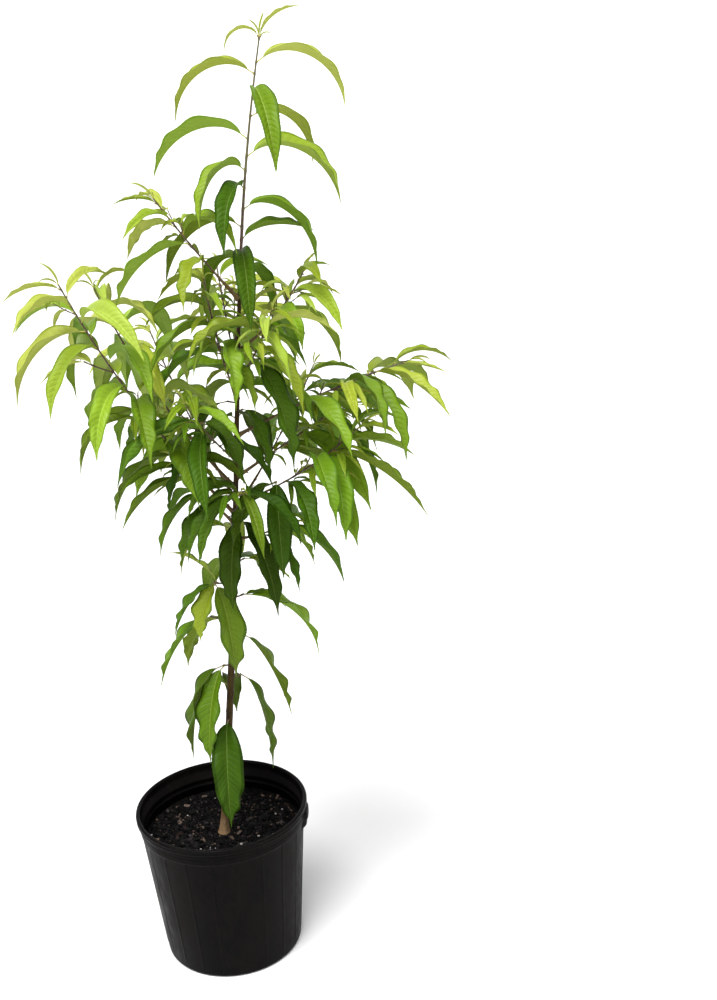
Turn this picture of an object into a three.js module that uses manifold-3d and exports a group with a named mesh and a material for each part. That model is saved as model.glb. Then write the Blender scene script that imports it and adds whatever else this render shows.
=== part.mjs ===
// Dwarf peach tree in a round nursery pot, standing on its flat underside.
// Millimetres, +Z up. The origin is the centre of the pot's underside.
//
// The trunk leans to +X and carries long leafy shoots. Each shoot is a bare bough
// and a mass: a stem that grows on from the bough's tip, with side twigs and leaves
// set at the same turn from one to the next. A leaf that finds no free space round
// it, after a few turns, is left out.

import * as THREE from 'three';
import { mergeVertices } from 'three/addons/utils/BufferGeometryUtils.js';
import Module from 'manifold-3d';

const wasm = await Module();
wasm.setup();
const { Manifold, Mesh: SolidMesh } = wasm;

// ---------------------------------------------------------------- driving sizes

const GAP = 0.3;                  // clearance between touching pieces

const POT = {
  height: 207,
  rimRadius: 112.5,
  lipHeight: 8.4,
  collarHeight: 16,
  collarRadius: 108.6,
  collarFoot: 107,
  baseRadius: 89.8,
  footBevel: 5,
  wall: 2.2,
  floor: 3,
  lipRound: 1.6,
  lipBreadth: 5.6,                // across the top of the rolled lip
  collarStep: 2,                  // the wall steps out to the collar over this height
  floorCorner: 4,
  segments: 40,
};

const SOIL = {
  level: 171,                     // flat patch that the trunk stands on
  edgeDrop: 4,                    // the mix lies this much lower along the wall
  flatRadius: 30,
};

const TRUNK = {
  tipHeight: 985,                 // of the whole leader, above the soil
  lineHeight: 1008,               // height over which the line below is stated
  lean: 137,                      // how far the line moves to +X over its height
  sway: 12,                       // how far it bows back to -X near the top
  footY: -12,
  forkHeight: 714,                // where the trunk ends and the leafy leader begins
  lowRadius: 5.3,
  forkRadius: 2.2,
  tipRadius: 1.2,
  flareRadius: 3,                 // added at the soil
  flareHeight: 9,                 // the flare falls to a third over this height
  sides: 10,
  claimRadius: 6,                 // of the space that the trunk claims at its foot
  claims: 60,
};

const BOUGH = { footRadius: 2.6, endRadius: 1.5, sides: 6, step: 22 };
const STEM = { tipRadius: 1.2, sides: 3, steps: 12, claimRadius: 2.3, claimTipRadius: 0.9 };
const TWIG = {
  chance: 0.1,
  length: 34,
  extra: 16,                      // added to the length, up to this much
  spread: 42,
  bend: 12,                       // how much its rise grows to the tip
  lowestRise: 5,
  highestRise: 70,
  radius: 1.3,
  tipRadius: 1.1,
  steps: 4,
  leaves: 2,
  firstLeaf: 0.97,                // place of the outer leaf along the twig
  nextLeaf: 0.3,                  // and how much nearer the stem the next one is
  leafSize: 0.78,                 // of the shoot's own leaves
};

const TURN = 144;                 // degrees from one leaf to the next round a stem
const TURN_TRIES = [0, 35, -35, 70, -70];
const SEED = 20;                  // of the first shoot

const LEAF = {
  breadth: 0.12,                  // half-breadth as a share of the length
  thickness: 1.6,
  stalk: 0.07,                    // leaf stalk as a share of the length
  rootHalf: 0.45,                 // half-thickness of the root, on the stem's axis
  spread: 58,                     // angle between the stem and a grown leaf
  fold: 34,                       // rise of each half of a blade from the midrib
  shadeFold: -10,                 // and how much flatter the innermost blade lies
  tipFall: -78,                   // where a grown leaf's tip points
  hang: 0.7,                      // below 1 the blade bends over near its root
  lowestRise: -5,
  highestRise: 62,
  checks: 24,                     // stations at which free space is tested
  sections: [0.12, 0.42, 0.75],
};

// How far the youngest leaf of a shoot differs from a grown one.
const YOUNG = {
  spread: -26,
  tipLift: 50,
  breadth: -0.026,
  length: -0.52,
  ageing: 1.8,
  leaves: 6,                      // the last leaves of a shoot that are young
  tips: 4,                        // the last leaves of a shoot that no side twig replaces
  fromHeight: 480,                // a shoot whose tip is lower has none
  fullHeight: 540,
};

// Leaves differ from each other by up to this much, in degrees or as a share.
const VARIED = {
  turn: 14,
  length: 0.12,
  spread: 8,
  tipFall: 10,
  breadth: 0.1,
  curl: 24,
  roll: 22,
  twist: 40,
};

const SPACE = {
  cell: 9,
  betweenMasses: 6,
  withinMass: 3,
  rootStations: 4,                // beside the stem a mass's own leaves may touch
};

const SHOOT = {
  firstLeaf: 4,                   // past the bare stretch
  tipInset: 0.5,
  crowding: 0.9,
  innerShade: 0.3,
  firstSize: 0.8,                 // of the leaves nearest the bare stretch
};

// Shoots: name, height of the foot above the soil, heading, rise at the foot and at
// the tip (degrees), whole length, bare length, leaves, heading of the tip leaf,
// leaf length.
const SHOOTS = [
  ['left_long',     437, 190, 52, 68, 350,  95, 21, 180, 126],
  ['left_inner',    470, 166, 50, 70, 292,  95, 16,  10, 122],
  ['upper_left',    698, 182, 52, 58, 150,  50,  8, 200, 104],
  ['right_long',    535,  -3, 25, 14, 224,  60, 13, -30, 124],
  ['right_mid',     483,  14, 26, 24, 190,  60, 11,  10, 122],
  ['right_low',     449, -16, 20, 42, 188,  60, 11, -90, 126],
  ['upper_right',   637,   8, 30, 60, 124,  45,  8, -10, 106],
  ['front_upright', 579, 222, 70, 84, 156,  40, 10, 215, 110],
  ['front_low',     462, 272, 14, 24, 100,  36,  6, 280, 102],
  ['front_left',    505, 240, 35, 50, 150,  38, 10, 250, 118],
  ['front_right',   600, 300, 40, 58, 130,  40,  8, 300, 112],
  ['left_low',      424, 214, 50, 58, 116,  38,  8, 190, 104],
  ['right_foot',    404, -24, 12, 22,  66,  30,  4, -40, 104],
  ['back_left',     455, 120, 42, 56, 250,  80, 13, 120, 120],
  ['back_mid',      515,  82, 38, 52, 240,  75, 12,  80, 120],
  ['back_right',    442,  48, 30, 44, 230,  75, 12,  50, 120],
  ['back_high',     610,  95, 42, 56, 150,  50,  9, 110, 110],
];

// Leaves of the leader: height above the soil, heading, rise at the root, length,
// fall at the tip.
const LEADER_LEAVES = [
  [986,   5, 66,  56,   0],
  [984, 185, 58,  52, -86],
  [958,  -4, 32, 124, -86],
  [946, 168, 36, 118, -84],
  [932, 275,  0, 126, -88],
  [901,  28, 20, 108, -88],
  [877, 170, 40, 128, -68],
  [858,   6, 32, 136, -80],
  [843, 222, 35, 112, -86],
  [823, 247, 30, 112, -88],
  [800,   8, 30, 122, -88],
  [780, 168, 40, 122, -74],
  [766,  16, 42,  90, -25],
  [750, 272, 30, 118, -88],
  [738, 120, 35, 112, -82],
  [724,  60, 35, 112, -82],
];
const LEADER = {
  hang: 0.8,
  lowHang: 0.5,                   // of the lowest leaves
  lowHeight: 780,
  highHeight: 900,
  youngFrom: 930,                 // heights between which its leaves turn young
  youngTo: 990,
  fold: 32,
  stalk: 0.08,
  curl: 8,
  roll: 14,
  twist: 20,
  steps: 12,
};

// Spurs on the trunk: name, height above the soil, heading, stem length, then
// for each leaf its heading, rise at the root, length, fall at the tip, hang and
// half-breadth as a share of the length.
const SPURS = [
  ['spur_1', 164, 262, 8, [
    [260, 0, 136, -88, 0.3, 0.15]]],
  ['spur_2', 220, -7, 9, [
    [-10, -36, 134, -90, 0.2, 0.095]]],
  ['spur_3', 238, 220, 9, [
    [203, -6, 126, -88, 0.3, 0.145],
    [233, -10, 122, -88, 0.3, 0.14]]],
  ['spur_4', 275, -4, 9, [
    [-8, -36, 122, -78, 0.3, 0.12]]],
  ['spur_5', 299, 186, 24, [
    [190, -10, 104, -72, 0.5, 0.13]]],
  ['spur_6', 328, -8, 9, [
    [-16, -4, 124, -88, 1.0, 0.13],
    [10, 4, 62, -55, 0.7, 0.14]]],
  ['spur_7', 348, 212, 26, [
    [291, -16, 116, -90, 0.3, 0.155],
    [192, -12, 82, -72, 0.6, 0.13],
    [222, -25, 72, -84, 0.5, 0.19],
    [178, 62, 70, 12, 1.1, 0.13]]],
  ['spur_8', 374, 4, 9, [
    [2, -8, 66, -56, 0.7, 0.14]]],
  ['spur_9', 428, -70, 9, [
    [-62, 8, 130, -88, 0.38, 0.1],
    [248, -5, 108, -88, 0.3, 0.14]]],
  ['spur_10', 200, 95, 9, [
    [82, 12, 114, -84, 0.5, 0.11],
    [122, 8, 116, -84, 0.5, 0.115]]],
  ['spur_11', 288, 110, 9, [
    [88, 15, 120, -82, 0.5, 0.115],
    [136, 10, 118, -80, 0.5, 0.115]]],
  ['spur_12', 364, 85, 9, [
    [50, 16, 112, -82, 0.5, 0.12],
    [118, 12, 110, -80, 0.5, 0.12]]],
  ['spur_13', 410, 110, 9, [
    [146, 20, 112, -80, 0.5, 0.12],
    [84, 12, 114, -82, 0.5, 0.12]]],
  ['spur_14', 618, -50, 22, [
    [-60, 0, 138, -88, 0.35, 0.12]]],
  ['spur_15', 576, 200, 8, [
    [200, 0, 112, -88, 0.35, 0.12]]],
  ['spur_16', 566, -66, 10, [
    [-60, 5, 92, -88, 0.35, 0.125]]],
  ['spur_17', 464, -30, 54, [
    [-95, 0, 118, -88, 0.3, 0.13],
    [222, 5, 100, -70, 0.7, 0.12]]],
  ['spur_18', 548, 227, 62, [
    [-60, 18, 104, -72, 0.6, 0.125]]],
  ['spur_19', 548, 84, 12, [
    [60, 12, 118, -84, 0.45, 0.12],
    [122, 12, 116, -82, 0.45, 0.12]]],
];
const SPUR = {
  rise: 10,
  tipRise: 25,
  radius: 1.5,
  tipRadius: 1.3,
  steps: 3,
  leafPitch: 2,                   // along the stem from one leaf to the next
  leafRoom: 6,                    // the stretch that holds them all
  fold: 18,
  stalk: 0.09,
  curl: 5,
  roll: 12,
  twist: 40,
};

const COLOURS = {
  plastic: { color: 0x121316, roughness: 0.45 },
  mix: { color: 0x2b211b, roughness: 0.95 },
  bark: { color: 0x6b4632, roughness: 0.8 },
  shoot: { color: 0x6a4a3a, roughness: 0.7 },
  leaf: { color: 0x55872a, roughness: 0.5 },
};

// ---------------------------------------------------------------- small helpers

const { sin, cos, floor, hypot, PI, exp } = Math;
const rad = THREE.MathUtils.degToRad;
const deg = THREE.MathUtils.radToDeg;
const clamp = THREE.MathUtils.clamp;

// A number from 0 to 1 that three whole numbers fix, so that growth repeats exactly.
function dice(a, b, c = 0) {
  const v = sin(a * 12.9898 + b * 78.233 + c * 37.719) * 43758.5453;
  return v - floor(v);
}

function vary(spread, a, b, c = 0) {
  return spread * (2 * dice(a, b, c) - 1);
}

function heading(turn, rise) {
  return new THREE.Vector3(cos(rise) * cos(turn), cos(rise) * sin(turn), sin(rise));
}

function headingOf(direction) {
  return Math.atan2(direction.y, direction.x);
}

function riseOf(direction) {
  return Math.asin(clamp(direction.z, -1, 1));
}

// The trunk's centre line at a height above the soil.
function trunkLine(h) {
  const s = h / TRUNK.lineHeight;
  const bow = TRUNK.sway * sin(PI * clamp(s, 0, 1) ** 2.5);
  return new THREE.Vector3(TRUNK.lean * s - bow, TRUNK.footY * (1 - s), SOIL.level + h);
}

function trunkRadius(h) {
  const taper = TRUNK.lowRadius + (TRUNK.forkRadius - TRUNK.lowRadius) * h / TRUNK.forkHeight;
  return taper + TRUNK.flareRadius * exp(-h / TRUNK.flareHeight);
}

// A limb's centre line in equal steps, while its rise goes from one angle to another.
function limbLine(start, turn, rise, tipRise, length, steps) {
  const points = [start.clone()];
  for (let i = 0; i < steps; i += 1) {
    const t = (i + 0.5) / steps;
    const step = heading(rad(turn), rad(rise + (tipRise - rise) * t)).multiplyScalar(length / steps);
    points.push(points[i].clone().add(step));
  }
  return points;
}

// The point and the direction at a distance along a line of equal steps.
function along(points, distance) {
  const step = points[0].distanceTo(points[1]);
  const i = Math.min(floor(distance / step), points.length - 2);
  const at = points[i].clone().lerp(points[i + 1], distance / step - i);
  return [at, points[i + 1].clone().sub(points[i]).normalize()];
}

// A direction square to the stem, as near as can be to a compass heading.
function outward(stemDirection, turn) {
  const out = heading(rad(turn), 0);
  out.addScaledVector(stemDirection, -stemDirection.dot(out));
  if (out.length() < 0.3) {
    out.set(0, 0, 1).addScaledVector(stemDirection, -stemDirection.z);
  }
  return out.normalize();
}

// ---------------------------------------------------------------- free space

const cells = new Map();

function cellOf(p) {
  return [floor(p.x / SPACE.cell), floor(p.y / SPACE.cell), floor(p.z / SPACE.cell)];
}

function claim(p, owner, radius) {
  const key = cellOf(p).join();
  if (!cells.has(key)) cells.set(key, []);
  cells.get(key).push([p.x, p.y, p.z, owner, radius]);
}

function isFree(p, owner, gap, ownGap) {
  const [ci, cj, ck] = cellOf(p);
  for (let i = ci - 1; i <= ci + 1; i += 1) {
    for (let j = cj - 1; j <= cj + 1; j += 1) {
      for (let k = ck - 1; k <= ck + 1; k += 1) {
        for (const [x, y, z, who, radius] of cells.get([i, j, k].join()) ?? []) {
          const reach = (who === owner ? ownGap : gap) + radius;
          if (hypot(p.x - x, p.y - y, p.z - z) < reach) return false;
        }
      }
    }
  }
  return true;
}

const LIMB_CLAIMS = 3;            // claims in each step of a limb
const LIMB_ALLOWANCE = 2;         // a limb claims this much less than its radius

function claimLimb(points, owner, radius, tipRadius) {
  const steps = points.length - 1;
  for (let i = 0; i < steps; i += 1) {
    for (let j = 0; j < LIMB_CLAIMS; j += 1) {
      const t = j / LIMB_CLAIMS;
      const r = radius + (tipRadius - radius) * (i + t) / steps;
      claim(points[i].clone().lerp(points[i + 1], t), owner, r - LIMB_ALLOWANCE);
    }
  }
}

// ---------------------------------------------------------------- leaves

// Half-breadth of a blade at t, as a share of its greatest half-breadth.
function bladeOutline(t) {
  if (t <= 0 || t >= 1) return 0;
  return sin(PI * t ** 0.82) ** 0.8 * (1 - 0.22 * t) / 0.905;
}

// A blade's stations: each has the midrib's point, the side and up directions and
// the half-breadth. Angles are in radians.
function makeLeaf(root, shape) {
  const { turn, rise, tipFall, length, half, hang, curl, roll, twist, fold, stalk } = shape;
  const riseAt = (t) => rise + (tipFall - rise) * t ** hang;
  const at = root.clone().addScaledVector(heading(turn, rise), stalk);
  const stations = [];
  for (let i = 0; i <= LEAF.checks; i += 1) {
    const t = i / LEAF.checks;
    const forward = heading(turn + curl * t, riseAt(t));
    const level = new THREE.Vector3(-sin(turn + curl * t), cos(turn + curl * t), 0);
    const over = forward.clone().cross(level);
    const tilt = roll + twist * t;
    const side = level.multiplyScalar(cos(tilt)).addScaledVector(over, sin(tilt));
    const up = forward.clone().cross(side);
    stations.push({ at: at.clone(), side, up, half: half * bladeOutline(t) });
    const middle = (i + 0.5) / LEAF.checks;
    at.addScaledVector(heading(turn + curl * middle, riseAt(middle)), length / LEAF.checks);
  }
  return { root, stations, fold };
}

// A point of the blade at x, from -1 at one edge to 1 at the other.
function bladePoint(leaf, station, x) {
  return station.at.clone()
    .addScaledVector(station.side, station.half * x * cos(leaf.fold))
    .addScaledVector(station.up, station.half * Math.abs(x) * sin(leaf.fold));
}

const ACROSS = [-1, -0.5, 0, 0.5, 1];

function place(mass, leaf, mustFit) {
  const fits = (station, i) => {
    const ownGap = i < SPACE.rootStations ? -Infinity : SPACE.withinMass;
    return ACROSS.every((x) => isFree(
      bladePoint(leaf, station, x), mass.name, SPACE.betweenMasses, ownGap));
  };
  if (mustFit && !leaf.stations.every(fits)) return false;
  for (const station of leaf.stations) {
    for (const x of ACROSS) claim(bladePoint(leaf, station, x), mass.name, 0);
  }
  mass.leaves.push(leaf);
  return true;
}

// One leaf on a stem. A young leaf is shorter, narrower and holds itself up.
function leafOnStem(mass, at, direction, leaf) {
  const { turn, length, young, shade, seed, index } = leaf;
  for (const extra of TURN_TRIES) {
    const out = outward(direction, turn + extra);
    const spread = rad(LEAF.spread + YOUNG.spread * young + vary(VARIED.spread, seed, index, 3));
    const aim = direction.clone().multiplyScalar(cos(spread)).addScaledVector(out, sin(spread));
    const grown = makeLeaf(at.clone(), {
      turn: headingOf(aim),
      rise: clamp(riseOf(aim), rad(LEAF.lowestRise), rad(LEAF.highestRise)),
      tipFall: rad(LEAF.tipFall + YOUNG.tipLift * young + vary(VARIED.tipFall, seed, index, 4)),
      length,
      half: length * (LEAF.breadth + YOUNG.breadth * young) * (1 + vary(VARIED.breadth, seed, index, 5)),
      hang: LEAF.hang,
      curl: rad(vary(VARIED.curl, seed, index, 6)),
      roll: rad(vary(VARIED.roll, seed, index, 7)),
      twist: rad(vary(VARIED.twist, seed, index, 8)),
      fold: rad(LEAF.fold + LEAF.shadeFold * (1 - shade)),
      stalk: length * LEAF.stalk,
    });
    if (place(mass, grown, true)) return true;
  }
  return false;
}

// ---------------------------------------------------------------- growth

const masses = [];
const boughs = [];

function newMass(name) {
  const mass = { name, stems: [], leaves: [] };
  masses.push(mass);
  return mass;
}

function sideTwig(mass, at, direction, twig) {
  const { turn, leafLength, shade, seed, index } = twig;
  const out = outward(direction, turn);
  const aim = direction.clone().multiplyScalar(cos(rad(TWIG.spread)));
  aim.addScaledVector(out, sin(rad(TWIG.spread)));
  const length = TWIG.length + TWIG.extra * dice(seed, index, 10);
  const rise = clamp(deg(riseOf(aim)), TWIG.lowestRise, TWIG.highestRise);
  const points = limbLine(at, deg(headingOf(aim)), rise, rise + TWIG.bend, length, TWIG.steps);
  if (!points.slice(2).every((p) => isFree(p, mass.name, SPACE.cell, 2))) return false;
  claimLimb(points.slice(1), mass.name, TWIG.radius, TWIG.tipRadius);
  mass.stems.push({ points, radius: TWIG.radius, tipRadius: TWIG.tipRadius });
  for (let j = 0; j < TWIG.leaves; j += 1) {
    const [where, towards] = along(points, length * (TWIG.firstLeaf - TWIG.nextLeaf * j));
    const young = j === 0 ? 0.8 : 0.36;
    leafOnStem(mass, where, towards, {
      turn: turn + 30 - TURN * j,
      length: leafLength * (TWIG.leafSize - 0.42 * young),
      young, shade, seed: seed + j * 3, index: index + 40,
    });
  }
  return true;
}

// A shoot's limb, whose space is claimed before any leaf is set.
function layShoot([name, height, turn, rise, tipRise, length, bare, leaves, tipTurn, leafLength]) {
  const points = limbLine(trunkLine(height), turn, rise, tipRise, length, STEM.steps);
  claimLimb(points.slice(1), name, STEM.claimRadius, STEM.claimTipRadius);
  return { name, points, length, bare, leaves, tipTurn, leafLength };
}

function growShoot({ name, points, length, bare, leaves, tipTurn, leafLength }, seed) {
  const mass = newMass(name);
  boughs.push({ name: `${name}_bough`, points, bare });
  mass.stems.push({
    points: cutLine(points, bare + GAP, length),
    radius: BOUGH.endRadius,
    tipRadius: STEM.tipRadius,
  });
  const tipHeight = points[STEM.steps].z - SOIL.level;
  const youth = clamp(
    (tipHeight - YOUNG.fromHeight) / (YOUNG.fullHeight - YOUNG.fromHeight), 0, 1);
  for (let i = leaves - 1; i >= 0; i -= 1) {
    const t = (i + 0.35) / leaves;
    const first = bare + SHOOT.firstLeaf;
    const distance = Math.min(first + (length - first) * t ** SHOOT.crowding, length - SHOOT.tipInset);
    const [at, direction] = along(points, distance);
    const young = clamp((i + YOUNG.leaves - leaves) / (YOUNG.leaves - 1), 0, 1) * youth;
    const turn = tipTurn - TURN * (leaves - 1 - i) + vary(VARIED.turn, seed, i, 2);
    const shade = SHOOT.innerShade + (1 - SHOOT.innerShade) * t;
    const inner = SHOOT.firstSize + (1 - SHOOT.firstSize) * Math.min(1, (i + 1) / 3);
    const wantsTwig = i > 1 && i < leaves - YOUNG.tips && dice(seed, i, 9) < TWIG.chance;
    const twig = { turn, leafLength, shade, seed, index: i };
    if (wantsTwig && sideTwig(mass, at, direction, twig)) continue;
    leafOnStem(mass, at, direction, {
      turn,
      length: leafLength * (1 + YOUNG.length * young ** YOUNG.ageing)
        * (1 + vary(VARIED.length, seed, i, 1)) * inner,
      young, shade, seed, index: i,
    });
  }
}

// The part of a line between two distances along it.
function cutLine(points, from, to) {
  const step = points[0].distanceTo(points[1]);
  const kept = [along(points, from)[0]];
  points.forEach((p, i) => {
    if (i * step > from + 0.2 * step && i * step < to - 0.2 * step) kept.push(p.clone());
  });
  kept.push(along(points, to)[0]);
  return kept;
}

function growLeader() {
  const mass = newMass('crown_top');
  const points = [];
  const foot = TRUNK.forkHeight + GAP;
  for (let i = 0; i <= LEADER.steps; i += 1) {
    points.push(trunkLine(foot + (TRUNK.tipHeight - foot) * i / LEADER.steps));
  }
  mass.stems.push({ points, radius: TRUNK.forkRadius, tipRadius: TRUNK.tipRadius, level: true });
  LEADER_LEAVES.forEach(([height, turn, rise, length, fall], k) => {
    const young = clamp((height - LEADER.youngFrom) / (LEADER.youngTo - LEADER.youngFrom), 0, 1);
    const high = clamp((height - LEADER.lowHeight) / (LEADER.highHeight - LEADER.lowHeight), 0, 1);
    place(mass, makeLeaf(trunkLine(Math.min(height, TRUNK.tipHeight - 0.8)), {
      turn: rad(turn),
      rise: rad(rise),
      tipFall: rad(fall),
      length,
      half: length * (LEAF.breadth + YOUNG.breadth * young),
      hang: LEADER.lowHang + (LEADER.hang - LEADER.lowHang) * high,
      curl: rad(vary(LEADER.curl, 90, k)),
      roll: rad(vary(LEADER.roll, 91, k)),
      twist: rad(vary(LEADER.twist, 92, k)),
      fold: rad(LEADER.fold),
      stalk: length * LEADER.stalk,
    }), false);
  });
}

function growSpur([name, height, turn, stemLength, leaves]) {
  const mass = newMass(name);
  const length = stemLength + TRUNK.lowRadius;
  const points = limbLine(trunkLine(height), turn, SPUR.rise, SPUR.tipRise, length, SPUR.steps);
  claimLimb(points.slice(1), name, SPUR.radius, SPUR.tipRadius);
  mass.stems.push({ points, radius: SPUR.radius, tipRadius: SPUR.tipRadius, onTrunk: true });
  leaves.forEach(([leafTurn, rise, leafLength, fall, hang, breadth], k) => {
    const [root] = along(points, length - 1 - Math.min(SPUR.leafPitch * k, SPUR.leafRoom));
    place(mass, makeLeaf(root, {
      turn: rad(leafTurn),
      rise: rad(rise),
      tipFall: rad(fall),
      length: leafLength,
      half: leafLength * breadth,
      hang,
      curl: rad(vary(SPUR.curl, 93, k + height)),
      roll: rad(vary(SPUR.roll, 94, k + height)),
      twist: rad(vary(SPUR.twist, 95, k + height)),
      fold: rad(SPUR.fold),
      stalk: leafLength * SPUR.stalk,
    }), false);
  });
}

// ---------------------------------------------------------------- solids

// A closed skin over rings of points. A ring of one point is a tip. On a thin skin every
// second quad is cut along its other diagonal, so that its upper and lower walls are cut
// alike and can't pass through each other.
function skin(rings, thin = false) {
  const positions = rings.flat().flatMap((p) => [p.x, p.y, p.z]);
  const starts = [];
  rings.reduce((sum, ring) => { starts.push(sum); return sum + ring.length; }, 0);
  const faces = [];
  for (let r = 0; r + 1 < rings.length; r += 1) {
    const [a, b] = [starts[r], starts[r + 1]];
    const n = rings[r].length;
    for (let i = 0; i < n; i += 1) {
      const j = (i + 1) % n;
      if (rings[r + 1].length === 1) {
        faces.push(a + i, a + j, b);
      } else if (thin && i % 2 === 1) {
        faces.push(a + i, a + j, b + i, a + j, b + j, b + i);
      } else {
        faces.push(a + i, a + j, b + j, a + i, b + j, b + i);
      }
    }
  }
  const last = starts.at(-1);
  for (let i = 1; i + 1 < rings[0].length; i += 1) faces.push(0, i + 1, i);
  for (let i = 1; i + 1 < rings.at(-1).length; i += 1) faces.push(last, last + i, last + i + 1);
  const geometry = new THREE.BufferGeometry();
  geometry.setAttribute('position', new THREE.Float32BufferAttribute(positions, 3));
  geometry.setIndex(faces);
  return geometry;
}

// A round limb that follows its centre line, with a radius at each point. Its rings are
// square to the line, or level.
function limbGeometry(points, radii, sides, level = false) {
  const side = new THREE.Vector3();
  const rings = points.map((p, i) => {
    const before = points[Math.max(i - 1, 0)];
    const after = points[Math.min(i + 1, points.length - 1)];
    const direction = level ? new THREE.Vector3(0, 0, 1) : after.clone().sub(before).normalize();
    if (i === 0) side.crossVectors(direction, new THREE.Vector3(0.6, -0.8, 0)).normalize();
    side.addScaledVector(direction, -side.dot(direction)).normalize();
    const across = direction.clone().cross(side);
    return Array.from({ length: sides }, (_, k) => {
      const angle = 2 * PI * k / sides;
      return p.clone()
        .addScaledVector(side, radii[i] * cos(angle))
        .addScaledVector(across, radii[i] * sin(angle));
    });
  });
  return skin(rings);
}

function taperedRadii(count, radius, tipRadius) {
  return Array.from({ length: count }, (_, i) => radius + (tipRadius - radius) * i / (count - 1));
}

function leafGeometry(leaf) {
  const half = LEAF.thickness / 2;
  const [first] = leaf.stations;
  const ring = (at, station, breadth, thick) => [
    at.clone().addScaledVector(station.side, breadth * cos(leaf.fold))
      .addScaledVector(station.up, breadth * sin(leaf.fold)),
    at.clone().addScaledVector(station.up, thick),
    at.clone().addScaledVector(station.side, -breadth * cos(leaf.fold))
      .addScaledVector(station.up, breadth * sin(leaf.fold)),
    at.clone().addScaledVector(station.up, -thick),
  ];
  const rings = [ring(leaf.root, first, LEAF.rootHalf, LEAF.rootHalf)];
  for (const t of LEAF.sections) {
    const station = leaf.stations[Math.round(t * LEAF.checks)];
    rings.push(ring(station.at, station, station.half, half));
  }
  rings.push([leaf.stations.at(-1).at]);
  return skin(rings, true);
}

function toSolid(geometry) {
  const bare = geometry.clone();
  bare.deleteAttribute('normal');
  bare.deleteAttribute('uv');
  const merged = mergeVertices(bare, 1e-4);
  return new Manifold(new SolidMesh({
    numProp: 3,
    vertProperties: new Float32Array(merged.attributes.position.array),
    triVerts: new Uint32Array(merged.index.array),
  }));
}

function toGeometry(solid) {
  const mesh = solid.getMesh();
  const geometry = new THREE.BufferGeometry();
  geometry.setAttribute('position', new THREE.BufferAttribute(mesh.vertProperties, 3));
  geometry.setIndex(new THREE.BufferAttribute(mesh.triVerts, 1));
  return geometry;
}

// ---------------------------------------------------------------- trunk and boughs

const FLARE_RINGS = [0, 4, 9, 18, 40];
const UPPER_RINGS = 12;

function trunkHeights() {
  const top = FLARE_RINGS.at(-1);
  const pitch = (TRUNK.forkHeight - top) / UPPER_RINGS;
  return [...FLARE_RINGS, ...Array.from({ length: UPPER_RINGS }, (_, i) => top + pitch * (i + 1))];
}

function trunkGeometry(extra) {
  const heights = trunkHeights();
  const points = heights.map(trunkLine);
  return limbGeometry(points, heights.map((h) => trunkRadius(h) + extra), TRUNK.sides, true);
}

function boughGeometry({ points, bare }, trunkSpace) {
  const count = Math.max(3, Math.round(bare / BOUGH.step) + 1);
  const line = Array.from({ length: count }, (_, i) => along(points, bare * i / (count - 1))[0]);
  const radii = taperedRadii(count, BOUGH.footRadius, BOUGH.endRadius);
  return toGeometry(toSolid(limbGeometry(line, radii, BOUGH.sides)).subtract(trunkSpace));
}

function massGeometry(mass, trunkSpace) {
  let solid = null;
  for (const { points, radius, tipRadius, onTrunk, level } of mass.stems) {
    const radii = taperedRadii(points.length, radius, tipRadius);
    const stem = toSolid(limbGeometry(points, radii, STEM.sides, level));
    solid = solid ? solid.add(stem) : stem;
    if (onTrunk) solid = solid.subtract(trunkSpace);
  }
  for (const leaf of mass.leaves) solid = solid.add(toSolid(leafGeometry(leaf)));
  return toGeometry(solid);
}

// ---------------------------------------------------------------- pot and soil

function wallRadius(z) {
  const top = POT.height - POT.lipHeight - POT.collarHeight;
  return POT.baseRadius + (POT.collarFoot - POT.baseRadius) * z / top;
}

function lathe(profile) {
  const geometry = new THREE.LatheGeometry(
    profile.map(([r, z]) => new THREE.Vector2(r, z)), POT.segments);
  geometry.rotateX(PI / 2);
  return geometry;
}

function potGeometry() {
  const { height, rimRadius, lipHeight, lipRound, lipBreadth } = POT;
  const { collarRadius, collarHeight, wall, floorCorner: corner } = POT;
  const lipFoot = height - lipHeight;
  const collarFoot = lipFoot - collarHeight;
  const inner = (z) => wallRadius(z) - wall;
  const bevel = POT.footBevel;
  return lathe([
    [0, 0],
    [POT.baseRadius - bevel, 0],
    [wallRadius(bevel), bevel],
    [wallRadius(collarFoot), collarFoot],
    [collarRadius, collarFoot + POT.collarStep],
    [collarRadius, lipFoot],
    [rimRadius, lipFoot],
    [rimRadius, height - lipRound],
    [rimRadius - lipRound, height],
    [rimRadius - lipBreadth + lipRound, height],
    [rimRadius - lipBreadth, height - lipRound],
    [inner(collarFoot), lipFoot],
    [inner(collarFoot), collarFoot],
    [inner(POT.floor + corner), POT.floor + corner],
    [inner(POT.floor) - corner, POT.floor],
    [0, POT.floor],
  ]);
}

function soilGeometry() {
  const { level, edgeDrop, flatRadius } = SOIL;
  const inner = (z) => wallRadius(z) - POT.wall - GAP;
  const edge = level - edgeDrop;
  const corner = POT.floorCorner + 1;
  return lathe([
    [0, POT.floor + GAP],
    [inner(POT.floor) - corner, POT.floor + GAP],
    [inner(POT.floor + corner), POT.floor + corner],
    [inner(edge), edge],
    [(flatRadius + inner(edge)) / 2, level - edgeDrop / 3],
    [flatRadius, level - GAP],
    [0, level - GAP],
  ]);
}

// ---------------------------------------------------------------- the tree

const tree = new THREE.Group();

function addPart(name, geometry, colour) {
  const mesh = new THREE.Mesh(geometry, new THREE.MeshStandardMaterial({ ...colour, metalness: 0 }));
  mesh.name = name;
  tree.add(mesh);
}

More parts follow.
